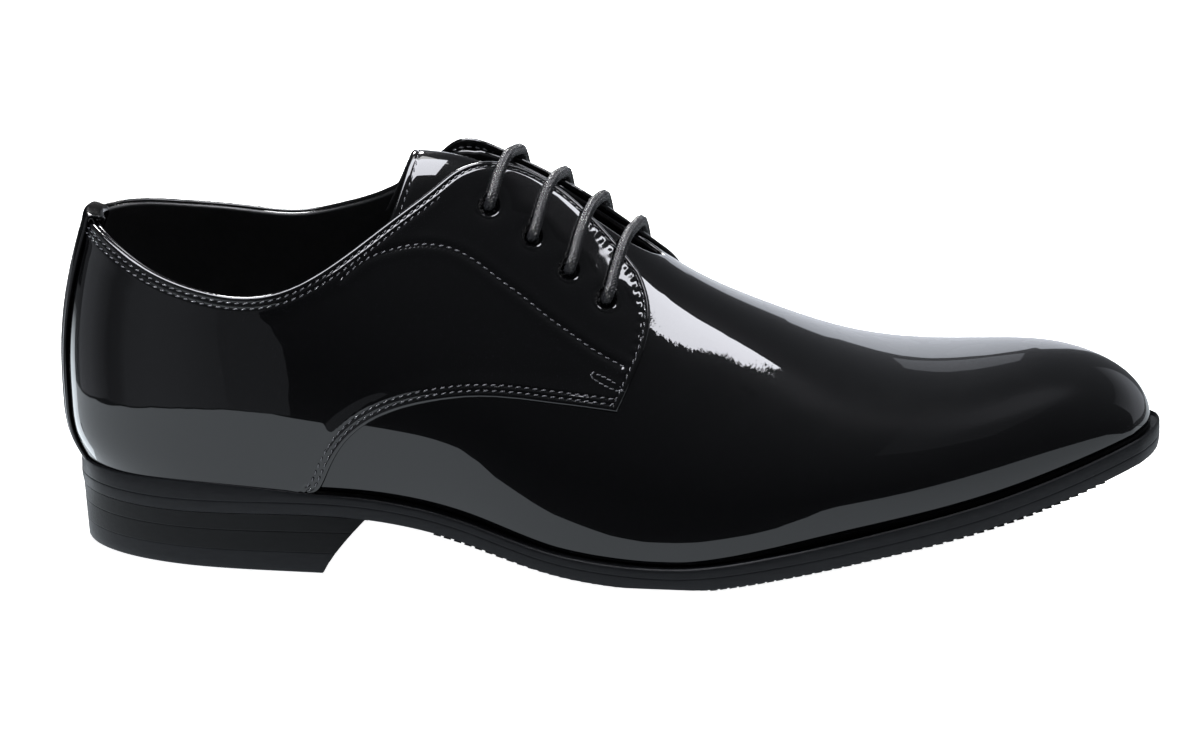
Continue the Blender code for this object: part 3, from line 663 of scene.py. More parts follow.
def quarter_places(table, side, share, up):
    """Turn and angle inside a quarter: share runs from heel to front, up from foot to top."""
    station = table_curve(table, "foot", share) * (1 - up) + table_curve(table, "top", share) * up
    bulge = FRONT_BULGE * np.sin(math.pi * up) + UPPER_BULGE * np.sin(math.pi * up ** 2)
    corners = table["rounding"] * up ** CORNER_SHARP + FRONT_CORNER * (1 - up) ** CORNER_SHARP
    corners = corners * np.clip((share - CORNER_SHARE) / (1 - CORNER_SHARE), 0, 1) ** 3
    station = station + bulge * share ** FRONT_FADE - corners
    turn = np.maximum(turn_of(station), SEAM_TURN)
    degrees = table_curve(table, "foot_deg", share) * (1 - up) + table_curve(table, "top_deg", share) * up
    return turn, side * np.minimum(np.radians(degrees), tuck(turn))


def run_lengths(points):
    """Length along a line of points, from its start to each of them."""
    return np.concatenate([[0], np.cumsum(np.linalg.norm(np.diff(points, axis=0), axis=1))])


def even(line, count):
    """The same line in even steps; each row is a turn and an angle."""
    length = run_lengths(last(line[:, 0], line[:, 1]))
    at = np.linspace(0, length[-1], count)
    return np.column_stack([np.interp(at, length, line[:, k]) for k in (0, 1)])


def quarter_border(table, side):
    """The sewn edge: down the collar and facing, round the front and back along the swoop."""
    share = np.linspace(0, 1, 900)
    up = np.linspace(1, 0, 300)
    legs = [quarter_places(table, side, share, np.ones(900)), quarter_places(table, side, np.ones(300), up)]
    swoop = quarter_places(table, side, share[::-1], np.zeros(900))
    legs.append([part[station_of(swoop[0]) > SWOOP_START] for part in swoop])
    line = np.concatenate([np.column_stack(leg) for leg in legs])
    return even(line, 2600)


def second_row(line):
    """The second row of stitches is sewn on the collar and the swoop, not on the facing."""
    return (station_of(line[:, 0]) < COLLAR_END) | (abs(line[:, 1]) > math.radians(SWOOP_DEG))


def seam_line(edge, side):
    """The curved seam under the eyelets, as turns and angles."""
    points = np.array(FACING_SEAM[edge])
    at = np.linspace(0, 1, 400)
    knots = np.linspace(0, 1, len(points))
    station, degrees = (spline(knots, points[:, k], at) for k in (0, 1))
    return even(np.column_stack([turn_of(station), side * np.radians(degrees)]), 700)


borders = {edge: quarter_border(table, side) for side, edge, table in SIDES}
seams = {edge: seam_line(edge, side) for side, edge, table in SIDES}
for edge in borders:
    print(edge, "sewn edge %.0f mm" % run_lengths(last(*borders[edge].T))[-1])


# %% Quarter panels
LIP_ROWS = [
    (1.9, -0.04), (1.42, 0.1), (1.1, 0.085), (0.8, 0.06), (0.5, 0.03), (0.3, 0.0), (0.14, -0.08),
    (0.03, -0.26), (0.0, -0.55), (0.0, -1.1),
]
LIP_SIDES, LIP_INSET = 28, 0.25
DIMPLE_DEPTH, DIMPLE_WIDTH = 0.9, 3.2


def eyelet_lips(side, edge, top):
    """The pressed lip of each punched hole, rolled over into it."""
    points, faces = [], []
    spin = np.linspace(0, 2 * math.pi, LIP_SIDES, endpoint=False)[:, None]
    for turn, angle in eyelet_places(side, edge):
        centre, axis = last(turn, angle), outward(turn, angle)
        lead = np.cross(axis, [0.0, 1.0, 0.0])
        lead /= np.linalg.norm(lead)
        spokes = np.cos(spin) * lead + np.sin(spin) * np.cross(axis, lead)
        base = len(points)
        for reach, lift in LIP_ROWS:
            out = EYELET_RADIUS - LIP_INSET + reach
            height = top + lift - DIMPLE_DEPTH * dent(out, DIMPLE_WIDTH)
            points += list(centre + height * axis + out * spokes)
        for k in range(len(LIP_ROWS) - 1):
            for i in range(LIP_SIDES):
                j = (i + 1) % LIP_SIDES
                low, high = base + k * LIP_SIDES, base + (k + 1) * LIP_SIDES
                faces.append([low + i, low + j, high + j, high + i])
    return points, faces


def quarter_panel(side, edge, table):
    """One quarter as a wall, with its edge, seam and holes worked into its outer layer."""
    front = np.linspace(FRONT_SHARE, 1, FRONT_RIBS)
    share = np.concatenate([np.linspace(0, FRONT_SHARE, LONG_RIBS), front[1:]])
    probe = np.linspace(0, 1, 80)
    band = np.linspace(0, EDGE_BAND, EDGE_LINES)
    ribs = []
    for value in share:
        length = run_lengths(last(*quarter_places(table, side, np.full(len(probe), value), probe)))
        middle = np.linspace(EDGE_BAND, length[-1] - EDGE_BAND, MIDDLE_LINES)[1:-1]
        marks = np.concatenate([band, middle, length[-1] - band[::-1]])
        ribs.append(np.interp(marks, length, probe))
    up = np.array(ribs)
    turn, angle = quarter_places(table, side, np.broadcast_to(share[:, None], up.shape), up)
    base = last(turn, angle)
    border = last(*borders[edge].T)
    gap, place = nearest(base, border)
    seam_gap, _ = nearest(base, last(*seams[edge].T))
    under = UPPER_WALL + GAP
    off = under + EDGE_LIP + (QUARTER_WALL - EDGE_LIP) * roll(gap, EDGE_ROLL)
    off -= ROW_DIP * dent(gap - ROW_GAPS[0], ROW_WIDTH)
    off -= ROW_DIP * dent(gap - ROW_GAPS[1], ROW_WIDTH) * second_row(borders[edge])[place]
    border_turn, border_angle = borders[edge].T
    front = (station_of(border_turn) > PUCKER_START) & (abs(border_angle) < math.radians(PUCKER_DEG))
    beat = front[place] * np.cos(2 * math.pi * run_lengths(border)[place] / PUCKER_PITCH)
    off += PUCKER * beat * dent(gap - PUCKER_GAP, PUCKER_WIDTH)
    off += EDGE_FOLD * (1 - ease(gap, *FOLD_FADE))
    off -= SEAM_DIP * dent(seam_gap, SEAM_WIDTH) - SEAM_PUFF * dent(seam_gap - PUFF_GAP, PUFF_WIDTH)
    holes = eyelet_places(side, edge)
    for hole in holes:
        off -= DIMPLE_DEPTH * dent(np.linalg.norm(base - last(*hole), axis=-1), DIMPLE_WIDTH)
    lift = FLAP_LIFT[edge] * dent(station_of(turn) - FLAP_PLACE, FLAP_LONG)
    lift = lift * dent(np.degrees(angle), FLAP_DEG)
    layers = [skin(turn, angle, height + lift).reshape(-1, 3) for height in (off, under)]
    faces = open_holes(layers, grid_faces(*turn.shape), holes, EYELET_RADIUS)
    return close_wall("panel_" + edge, layers, faces, [patent, lining])


for side, edge, table in SIDES:
    dress(quarter_panel(side, edge, table), "patent_leather", "quarter_" + edge)
    points, faces = eyelet_lips(side, edge, UPPER_WALL + GAP + QUARTER_WALL)
    dress(make_piece("eyelet_lips_" + edge, points, faces, [patent]), "patent_leather")

# %% [markdown]
# Backstay and tongue
#
# The backstay is the narrow strip that covers the heel seam. It folds over the collar and ends
# inside the shoe, so its section is one long line: up the back, round the fold and down. The
# tongue lies under the facings with its free end at the collar.

# %% Backstay
BACKSTAY_REACH, BACKSTAY_SPREAD = 0.125, 1.6
STAY_RIBS, STAY_LINES, FOLD_LINES = 41, 90, 40
STAY_EDGE, STAY_ROLL, MM_PER_TURN = 0.5, 0.8, 60.0
FOLD_UNDER = (6.0, 2.0, -1.3, -1.9, -1.3, 3.0, 7.0, 11.0)
FOLD_OFF = (4.5, 4.5, 4.3, 1.6, -1.15, -1.35, -1.35, -1.35)
FOLD_INNER_UNDER = (6.0, 2.0, -0.5, -0.5, -0.5, 3.0, 7.0, 11.0)
FOLD_INNER_OFF = (3.5, 3.5, 3.5, 1.6, -0.35, -0.35, -0.35, -0.35)


def backstay_strip():
    """The strip, rib by rib: up the back, round the fold over the collar and down inside."""
    reaches = np.linspace(-1, 1, STAY_RIBS)
    reaches = BACKSTAY_REACH * np.sign(reaches) * (1 - (1 - abs(reaches)) ** BACKSTAY_SPREAD)
    layers = []
    for under, off in ((FOLD_UNDER, FOLD_OFF), (FOLD_INNER_UNDER, FOLD_INNER_OFF)):
        knots = np.arange(len(under))
        fine = np.linspace(0, knots[-1], FOLD_LINES)
        grid = []
        for reach in reaches:
            side, table = (LATERAL, QUARTER_LATERAL) if reach < 0 else (MEDIAL, QUARTER_MEDIAL)
            top = topline(table, station_of(abs(reach)))
            foot = np.degrees(tuck(abs(reach)))
            climb = np.linspace(0, 1, STAY_LINES)[:-1]
            back = foot + (top + under[0] - foot) * climb
            degrees = np.concatenate([back, top + spline(knots, under, fine)])
            offs = np.concatenate([np.full(len(climb), off[0]), spline(knots, off, fine)])
            edge_gap = (BACKSTAY_REACH - abs(reach)) * MM_PER_TURN
            thin = (1 - roll(edge_gap, STAY_ROLL)) * (STAY_EDGE if off is FOLD_OFF else 0.0)
            offs = offs - thin * np.where(offs > UPPER_WALL, 1.0, -1.0)
            turn = np.full(len(degrees), abs(reach))
            grid.append(skin(turn, side * np.radians(degrees), offs))
        layers.append(np.array(grid))
    faces = grid_faces(*layers[0].shape[:2])
    return close_wall("backstay_strip", [layer.reshape(-1, 3) for layer in layers], faces, [patent, lining])


dress(backstay_strip(), "patent_leather", "backstay")

# %% Tongue
TONGUE_GAP, TONGUE_WALL = 0.8, 1.8
TONGUE_DEG_FREE, TONGUE_DEG_FRONT = 42.0, 26.0
TONGUE_FREE_END, TONGUE_CORNERS, TONGUE_FRONT = 94.5, 8.5, 172.0
TONGUE_RIBS, TONGUE_CROWD = 90, 1.5
TONGUE_ROLL, TONGUE_EDGE = 0.9, 0.15
TONGUE_DIP, TONGUE_DIP_GAP, TONGUE_DIP_WIDTH = 0.15, 2.0, 0.5
TONGUE_SAG, SAG_GROWS, SAG_ENDS = 2.2, (0.0, 0.4), (0.55, 0.95)


def tongue_places(along, across):
    """Turn and angle on the tongue: along from its free end, across from side to side."""
    angle = across * np.radians(TONGUE_DEG_FREE + (TONGUE_DEG_FRONT - TONGUE_DEG_FREE) * along)
    free_end = TONGUE_FREE_END - TONGUE_CORNERS * across ** 2
    return turn_of(free_end + (TONGUE_FRONT - free_end) * along), angle


def tongue_leaf():
    """The tongue as a wall with a rolled border, a sewn trough and a sag behind its free end."""
    along = np.linspace(0, 1, TONGUE_RIBS)[:, None] ** TONGUE_CROWD
    across = np.sin(np.linspace(-math.pi / 2, math.pi / 2, TONGUE_RIBS))[None, :]
    turn, angle = tongue_places(*np.broadcast_arrays(along, across))
    base, normal = last(turn, angle), outward(turn, angle)
    step = np.linspace(0, 1, 500)
    full = np.ones(500)
    legs = [(step[::-1], -full), (0 * step, 2 * step - 1), (step, full)]
    border = np.concatenate([last(*tongue_places(*leg)) for leg in legs])
    gap, _ = nearest(base, border)
    close = roll(gap, TONGUE_ROLL)
    middle = TONGUE_GAP + TONGUE_WALL / 2
    half = TONGUE_WALL / 2 * (TONGUE_EDGE + (1 - TONGUE_EDGE) * close)
    dip = TONGUE_DIP * dent(gap - TONGUE_DIP_GAP, TONGUE_DIP_WIDTH)
    sag = TONGUE_SAG * ease(along, *SAG_GROWS) * (1 - ease(along, *SAG_ENDS))
    tops, bottoms = middle - half + dip + sag, middle + half + sag
    layers = [base - depth[..., None] * normal for depth in (tops, bottoms)]
    faces = grid_faces(*turn.shape)
    return close_wall("tongue_leaf", [layer.reshape(-1, 3) for layer in layers], faces, [patent, lining])


dress(tongue_leaf(), "patent_leather", "tongue")

# %% [markdown]
# Sole and heel
#
# The sole is thin and welted: the welt lies round the upper, the outsole under it, and both are
# trimmed together so that their edge is one satin band with a joint line. The heel is a block and
# a top piece below it. All follow the feather line at a distance, so they are loops round the
# shoe at different depths.

# %% Loops round the sole
SOLE_EDGE = named_columns(("station", "lateral", "medial"), [
    (0.0, 6.6, 6.6), (60.0, 4.2, 3.8), (100.0, 4.4, 3.4), (140.0, 4.3, 3.5), (180.0, 4.7, 3.9),
    (205.0, 5.5, 4.4), (230.0, 5.4, 4.6), (280.0, 4.8, 4.8), (LAST_LENGTH, 4.3, 4.3),
])
WELT, OUTSOLE = 2.4, 3.7
SOLE_DEPTH = WELT + PLAY + OUTSOLE
TREAD = 0.18
SOLE_TURNS = 200
SHARP_EDGE = 38.0


def outline(turns, side, out):
    """Plan outline beside the feather line on one side."""
    at = np.clip(turns, SEAM_BLEND, math.pi - SEAM_BLEND)
    along = last(at + STEP, side * tuck(at + STEP)) - last(at - STEP, side * tuck(at - STEP))
    normal = side * np.stack([-along[:, 1], along[:, 0]], -1)
    normal /= np.linalg.norm(normal, axis=-1, keepdims=True)
    normal[turns < STEP] = -1.0, 0.0
    normal[turns > math.pi - STEP] = 1.0, 0.0
    return last(turns, side * tuck(turns))[:, :2] + np.reshape(out, (-1, 1)) * normal


def sole_loop(turns, depth, inset=0.0, fixed=None):
    """Closed loop round the sole, some way under the feather line and never below the tread."""
    sides = []
    for side, edge, _ in SIDES:
        out = column(SOLE_EDGE, edge, turns) - inset if fixed is None else np.full(len(turns), fixed)
        height = np.maximum(column(SECTIONS, "feather", turns) - depth, TREAD)
        sides.append(np.column_stack([outline(turns, side, out), height]))
    return np.concatenate([sides[0], sides[1][-2:0:-1]])


def loop_faces(rows, around):
    """Quads between closed loops."""
    faces = []
    for k in range(rows - 1):
        for i in range(around):
            j = (i + 1) % around
            faces.append((k * around + i, k * around + j, (k + 1) * around + j, (k + 1) * around + i))
    return faces


def strips_across(base, count, around):
    """Faces that close a loop by strips from one side to the other."""
    faces = []
    for i in range(count - 1):
        corners = [i, i + 1, (around - i - 1) % around, (around - i) % around]
        faces.append([base + v for v in dict.fromkeys(corners)])
    return faces


def plate(name, loops, material, sharp=SHARP_EDGE):
    """Solid from loops, closed below and above."""
    around = len(loops[0])
    faces = loop_faces(len(loops), around)
    for base in (0, (len(loops) - 1) * around):
        faces += strips_across(base, around // 2 + 1, around)
    return make_piece(name, np.concatenate(loops), faces, [material], sharp=sharp)


around_sole = np.linspace(0, math.pi, SOLE_TURNS)
print("loops round the sole have", len(sole_loop(around_sole, 0.0)), "points")

# %% Outsole, welt and sock
JOINT = WELT + PLAY / 2
OUTSOLE_EDGE = [
    (SOLE_DEPTH - TREAD, 1.2), (SOLE_DEPTH - TREAD, 0.75), (SOLE_DEPTH - TREAD - 0.2, 0.4),
    (SOLE_DEPTH - 1.2, 0.22), (JOINT + 1.6, 0.06), (JOINT + 0.5, 0.0), (JOINT + 0.15, 0.02), (JOINT, 0.12),
]
WELT_EDGE = [(JOINT, 0.12), (JOINT - 0.15, 0.05), (JOINT - 0.5, 0.05), (1.2, 0.05)]
WELT_RIM = [(0.7, 0.1), (0.4, 0.22), (0.15, 0.45), (0.0, 0.75)]
RIM_RISE = named_columns(("station", "rise"), [
    (0.0, 2.3), (12.0, 2.7), (24.0, 3.1), (36.0, 2.6), (52.0, 1.3), (66.0, 0.2), (80.0, 0.0), (115.0, 0.0),
    (150.0, 0.0), (190.0, 0.5), (230.0, 1.2), (270.0, 1.4), (LAST_LENGTH, 1.2),
])
RIM_INSET = 0.95
WELT_REACH, INSOLE_REACH, INSOLE_TOP = 1.2, 1.6, 1.4
SOCK_DISH = 0.9
SOCK_LINES = 40

outsole_loops = [sole_loop(around_sole, *row) for row in OUTSOLE_EDGE]
dress(plate("sole_plate", outsole_loops, rubber), "sole_rubber", "outsole")


def welt_band():
    """The welt, with a rim that stands up round the heel seat and a little at the forepart."""
    loops = [sole_loop(around_sole, *row) for row in WELT_EDGE]
    rise = column(RIM_RISE, "rise", around_sole)
    for row in WELT_RIM:
        loops.append(sole_loop(around_sole, *row))
        loops[-1][:, 2] += np.concatenate([rise, rise[-2:0:-1]])
    loops.append(sole_loop(around_sole, 0.0, RIM_INSET))
    loops += [sole_loop(around_sole, depth, fixed=-WELT_REACH) for depth in (0.0, WELT)]
    around = len(loops[0])
    total = len(loops) * around
    faces = [[v % total for v in face] for face in loop_faces(len(loops) + 1, around)]
    return make_piece("welt_band", np.concatenate(loops), faces, [rubber], sharp=SHARP_EDGE)


def sock_pad():
    """The sock: flat below, softly dished above, as a grid across the insole."""
    turns = np.linspace(0, math.pi, 160)
    share = np.linspace(0, 1, SOCK_LINES)[None, :, None]
    left, right = (outline(turns, side, np.full(len(turns), -INSOLE_REACH)) for side in (LATERAL, MEDIAL))
    plan = left[:, None, :] * (1 - share) + right[:, None, :] * share
    feather = np.broadcast_to(column(SECTIONS, "feather", turns)[:, None], plan.shape[:2])
    bowl = SOCK_DISH * 4 * share[..., 0] * (1 - share[..., 0])
    top = np.dstack([plan, feather + INSOLE_TOP - bowl])
    bottom = np.dstack([plan, feather - WELT])
    faces = grid_faces(*plan.shape[:2])
    return close_wall("sock_pad", [top.reshape(-1, 3), bottom.reshape(-1, 3)], faces, [sock])


dress(welt_band(), "sole_rubber", "welt")
dress(sock_pad(), "insole_leather", "insole")

# %% Heel block and top piece
HEEL_INSET, HEEL_HEIGHT = 0.5, 16.6
HEEL_TAPER = named_columns(("station", "taper"), [(0.0, 1.0), (30.0, 2.2), (66.0, -0.5)])
BREAST_TOP, BREAST_FLOOR, BREAST_HOLLOW, BREAST_FLARE = 82.5, 69.0, 2.0, 1.25
HEEL_TURNS, BREAST_POINTS = 60, 12
TOP_PIECE_LEVELS = [
    (0.0, 0.9), (0.05, 0.5), (0.25, 0.2), (0.6, 0.02), (3.0, 0.0), (5.6, 0.0), (5.88, 0.02), (5.98, 0.08),
]
BLOCK_LEVELS = [
    (5.98, 0.08), (6.08, 0.02), (6.35, 0.0), (9.0, 0.0), (11.6, 0.0), (11.86, 0.01), (11.94, 0.07),
    (12.02, 0.07), (12.1, 0.01), (12.36, 0.0), (14.5, 0.0), (16.2, 0.0), (None, 0.0),
]


def heel_layer(name, levels, material):
    """Heel layer with a hollow breast; a level with no height lies against the sole."""
    share = np.linspace(0, 1, BREAST_POINTS + 2)[1:-1][:, None]
    loops = []
    for height, inset in levels:
        level = SECTIONS["feather"][0] - SOLE_DEPTH + TREAD if height is None else height
        climb = level / HEEL_HEIGHT
        reach = turn_of(BREAST_FLOOR + (BREAST_TOP - BREAST_FLOOR) * climb ** BREAST_FLARE - inset)
        turns = np.linspace(0, 1, HEEL_TURNS) * reach
        flanks = []
        for side, edge, _ in SIDES:
            out = column(SOLE_EDGE, edge, turns) - HEEL_INSET - inset
            out -= column(HEEL_TAPER, "taper", turns) * (1 - climb)
            flank = np.full(len(turns), level)
            if height is None:
                flank = column(SECTIONS, "feather", turns) - SOLE_DEPTH + TREAD
            flanks.append(np.column_stack([outline(turns, side, out), flank]))
        front = flanks[0][-1] * (1 - share) + flanks[1][-1] * share
        front[:, 0] -= BREAST_HOLLOW * 4 * (share * (1 - share))[:, 0]
        loops.append(np.concatenate([flanks[0], front, flanks[1][:0:-1]]))
    around = len(loops[0])
    faces = loop_faces(len(loops), around)
    for base in (0, (len(loops) - 1) * around):
        faces += strips_across(base, HEEL_TURNS, around)
        faces.append([base + HEEL_TURNS - 1 + v for v in range(BREAST_POINTS + 2)])
    return make_piece(name, np.concatenate(loops), faces, [material], sharp=SHARP_EDGE)


dress(heel_layer("heel_stack", BLOCK_LEVELS, stack), "heel_stack", "heel_block")
dress(heel_layer("heel_lift", TOP_PIECE_LEVELS, rubber), "sole_rubber", "heel_top_piece")

# %% [markdown]
# Laces
#
# Four bars of round waxed cord cross the throat and go down through the eyelets. The cord is
# braided: sixteen strands run round a core, eight each way, over and under each other. A helix is a
# rule, so Geometry Nodes make it: the path is copied once for each strand, and each copy is pushed
# off the path by an angle that grows with its length.

# %% Node trees that follow a path
def start_tree(name, sizes):
    """A geometry tree with a path and named sizes as inputs; the first size is the step along the path."""
    tree = bpy.data.node_groups.new(name, "GeometryNodeTree")
    for label, kind in [("Geometry", "Geometry"), *sizes, ("Material", "Material")]:
        tree.interface.new_socket(label, in_out="INPUT", socket_type="NodeSocket" + kind)
    tree.interface.new_socket("Geometry", in_out="OUTPUT", socket_type="NodeSocketGeometry")
    given = add(tree, "NodeGroupInput").outputs
    path = add(tree, "GeometryNodeMeshToCurve", {0: given["Geometry"]})
    step = given[sizes[0][0]]
    path = add(tree, "GeometryNodeResampleCurve", {"Curve": path.outputs[0], "Length": step}, mode="LENGTH")
    return tree, given, path.outputs[0]


def end_tree(tree, geometry, material, smooth=True):
    """Realize what has grown, shade it, paint it and hand it out."""
    solid = add(tree, "GeometryNodeRealizeInstances", {0: geometry}).outputs[0]
    if smooth:
        solid = add(tree, "GeometryNodeSetShadeSmooth", {0: solid}).outputs[0]
    painted = add(tree, "GeometryNodeSetMaterial", {0: solid, "Material": material})
    add(tree, "NodeGroupOutput", {0: painted.outputs[0]})
    return tree


def grow(name, points, edges, tree, sizes, attributes=None):
    """Run a node tree on a polyline mesh and keep the result as a plain mesh."""
    seed = bpy.data.meshes.new(name + " path")
    seed.from_pydata(to_frame(points).tolist(), [tuple(int(v) for v in edge) for edge in edges], [])
    for label, values in (attributes or {}).items():
        kind, field = ("FLOAT_VECTOR", "vector") if np.ndim(values) == 2 else ("FLOAT", "value")
        layer = seed.attributes.new(label, kind, "POINT")
        layer.data.foreach_set(field, np.asarray(values, np.float32).ravel())
    path = bpy.data.objects.new(name + " path", seed)
    bpy.context.scene.collection.objects.link(path)
    change = path.modifiers.new("grow", "NODES")
    change.node_group = tree
    for socket in tree.interface.items_tree:
        if socket.in_out == "INPUT" and socket.name in sizes:
            change[socket.identifier] = sizes[socket.name]
    ready = bpy.context.evaluated_depsgraph_get()
    mesh = bpy.data.meshes.new_from_object(path.evaluated_get(ready))
    mesh.name = name
    path.modifiers.remove(change)
    bpy.data.objects.remove(path)
    item = bpy.data.objects.new(name, mesh)
    bpy.context.scene.collection.objects.link(item)
    print("%s: %d faces" % (name, len(mesh.polygons)))
    return item


print("path trees ready")

# %% Braid node tree
CORD_RADIUS, CORD_CLEAR, BEND_ROOM = 1.7, 0.65, 0.2
STRANDS, STRAND_SIDES, CORE_SIDES = 16, 6, 12
BRAID_LEAD = 7.0
SOFTEN = 14
FULL_TURN = 2 * math.pi
BRAID_SIZES = [("Step", "Float"), ("Strands", "Int")]
BRAID_SIZES += [(name, "Float") for name in ("Lead", "Ring", "Weave", "Strand radius", "Core radius")]
BRAID_SUMS = [
    ("ratio", "DIVIDE", "run", "Lead"), ("phase", "MULTIPLY", "ratio", FULL_TURN),
    ("odd", "MODULO", "number", 2.0), ("way", "MULTIPLY_ADD", "odd", -2.0, 1.0),
    ("share", "DIVIDE", "number", "Strands"), ("start", "MULTIPLY", "share", FULL_TURN),
    ("angle", "MULTIPLY_ADD", "phase", "way", "start"),
    ("half", "MULTIPLY", "Strands", 0.5), ("beat", "MULTIPLY", "phase", "half"), ("wave", "COSINE", "beat"),
    ("over", "MULTIPLY", "wave", "way"), ("radius", "MULTIPLY_ADD", "over", "Weave", "Ring"),
    ("cosine", "COSINE", "angle"), ("ahead", "MULTIPLY", "cosine", "radius"),
    ("sine", "SINE", "angle"), ("aside", "MULTIPLY", "sine", "radius"),
]


def braid_tree():
    """Strands pushed off the path by an angle that grows with the run, and a core inside them."""
    tree, given, path = start_tree("braided cord", BRAID_SIZES)
    copies = add(tree, "GeometryNodeDuplicateElements", {
        "Geometry": path, "Amount": given["Strands"]}, domain="SPLINE")
    value = {name: given[name] for name, _ in BRAID_SIZES}
    value["number"] = copies.outputs["Duplicate Index"]
    value["run"] = add(tree, "GeometryNodeSplineParameter").outputs["Length"]
    for name, operation, *terms in BRAID_SUMS:
        inputs = {k: value.get(term, term) for k, term in enumerate(terms)}
        value[name] = add(tree, "ShaderNodeMath", inputs, operation=operation).outputs[0]
    normal = add(tree, "GeometryNodeInputNormal").outputs[0]
    tangent = add(tree, "GeometryNodeInputTangent").outputs[0]
    side = add(tree, "ShaderNodeVectorMath", {0: tangent, 1: normal}, operation="CROSS_PRODUCT")
    reach = []
    for direction, length in ((normal, value["ahead"]), (side.outputs[0], value["aside"])):
        push = add(tree, "ShaderNodeVectorMath", {0: direction, "Scale": length}, operation="SCALE")
        reach.append(push.outputs[0])
    offset = add(tree, "ShaderNodeVectorMath", {0: reach[0], 1: reach[1]}, operation="ADD")
    strands = add(tree, "GeometryNodeSetPosition", {
        "Geometry": copies.outputs[0], "Offset": offset.outputs[0]})
    both = add(tree, "GeometryNodeJoinGeometry")
    tubes = [(path, "Core radius", CORE_SIDES), (strands.outputs[0], "Strand radius", STRAND_SIDES)]
    for curve, thick, sides in tubes:
        ring = add(tree, "GeometryNodeCurvePrimitiveCircle", {"Resolution": sides, "Radius": given[thick]})
        tube = add(tree, "GeometryNodeCurveToMesh", {
            "Curve": curve, "Profile Curve": ring.outputs[0], "Fill Caps": True})
        fill(tree, both, {0: tube.outputs[0]})
    return end_tree(tree, both.outputs[0], given["Material"])


braid = braid_tree()
print("braid nodes:", len(braid.nodes))


# %% Lace bars
def bar_route(row):
    """Centre line of one bar: out of one eyelet, over the throat, into the other."""
    bend = CORD_RADIUS + BEND_ROOM
    ride = UPPER_WALL + GAP + QUARTER_WALL + CORD_RADIUS + CORD_CLEAR
    share = np.linspace(0, 1, 200)
    start, end = EYELETS["lateral"][row], EYELETS["medial"][row]
    start_deg, end_deg = -EYELETS["lateral_deg"][row], EYELETS["medial_deg"][row]
    turn = turn_of(start + (end - start) * share)
    angle = np.radians(start_deg + (end_deg - start_deg) * share)
    length = run_lengths(last(turn, angle))
    total = length[-1]
    rise = [(0.0, off) for off in np.linspace(0.4, ride - bend, 4)]
    rise += [(bend * (1 - math.cos(tilt)), ride - bend + bend * math.sin(tilt))
             for tilt in np.radians(range(15, 91, 15))]
    span = [(d, ride) for d in np.linspace(bend, total - bend, 60)[1:-1]]
    run, off = np.array(rise + span + [(total - d, off) for d, off in rise[::-1]]).T
    turn, angle = np.interp(run, length, turn), np.interp(run, length, angle)
    centre = last(turn, angle) + off[:, None] * outward(turn, angle)
    edges = np.radians([-EYELETS["near_edge"][row], EYELETS["far_edge"][row]])
    taut = (angle > edges[0]) & (angle < edges[1])
    for axis in range(3):
        centre[taut, axis] = np.interp(angle[taut], edges, np.interp(edges, angle, centre[:, axis]))
    for _ in range(SOFTEN):
        centre[1:-1] = (centre[:-2] + 2 * centre[1:-1] + centre[2:]) / 4
    return centre


STRAND_RADIUS, WEAVE, CORE_GAP, BRAID_STEP = 0.34, 0.18, 0.12, 0.35
for row in range(len(EYELETS["lateral"])):
    route = bar_route(row)
    edges = [(k, k + 1) for k in range(len(route) - 1)]
    sizes = {
        "Strands": STRANDS, "Step": BRAID_STEP * MM, "Lead": BRAID_LEAD * MM, "Weave": WEAVE * MM,
        "Ring": (CORD_RADIUS - STRAND_RADIUS - WEAVE) * MM, "Strand radius": STRAND_RADIUS * MM,
        "Core radius": (CORD_RADIUS - STRAND_RADIUS - CORE_GAP) * MM, "Material": cord,
    }
    bar = grow("lace_cord_%d" % (row + 1), route, edges, braid, sizes)
    dress(bar, "waxed_cord", "lace_bar_%d" % (row + 1))
    print("bar %d is %.0f mm long" % (row + 1, run_lengths(route)[-1]))

# %% [markdown]
# Stitches
#
# The rows run beside the folded edges and under the eyelets. One stitch is a small bead of thread
# that dives into the leather at both ends. Geometry Nodes space them along each row, turn each to
# the row's direction and to the leather's outward direction, and join them in one mesh.

# %% Stitch node tree
STITCH_SIZE = (1.6, 0.46, 0.44)
STITCH_SLANT = 12.0


def stitch_tree():
    """A bead of thread at every step, laid along the row and against the leather."""
    sizes = [("Pitch", "Float"), ("Size", "Vector"), ("Turn", "Vector")]
    tree, given, dots = start_tree("stitch rows", sizes)
    bead = add(tree, "GeometryNodeMeshUVSphere", {"Segments": 8, "Rings": 5, "Radius": 0.5})
    shaped = add(tree, "GeometryNodeTransform", {
        "Geometry": bead.outputs["Mesh"], "Scale": given["Size"], "Rotation": given["Turn"]})
    tangent = add(tree, "GeometryNodeInputTangent").outputs[0]
    lift = add(tree, "GeometryNodeInputNamedAttribute", {"Name": "lift"}, data_type="FLOAT_VECTOR")
    ahead = add(tree, "FunctionNodeAlignRotationToVector", {"Vector": tangent}, axis="X")
    upright = add(tree, "FunctionNodeAlignRotationToVector", {
        "Rotation": ahead.outputs[0], "Vector": lift.outputs[0]}, axis="Z", pivot_axis="X")
    sewn = add(tree, "GeometryNodeInstanceOnPoints", {
        "Points": dots, "Instance": shaped.outputs[0], "Rotation": upright.outputs[0]})
    return end_tree(tree, sewn.outputs[0], given["Material"])


stitches = stitch_tree()
print("stitch nodes:", len(stitches.nodes))


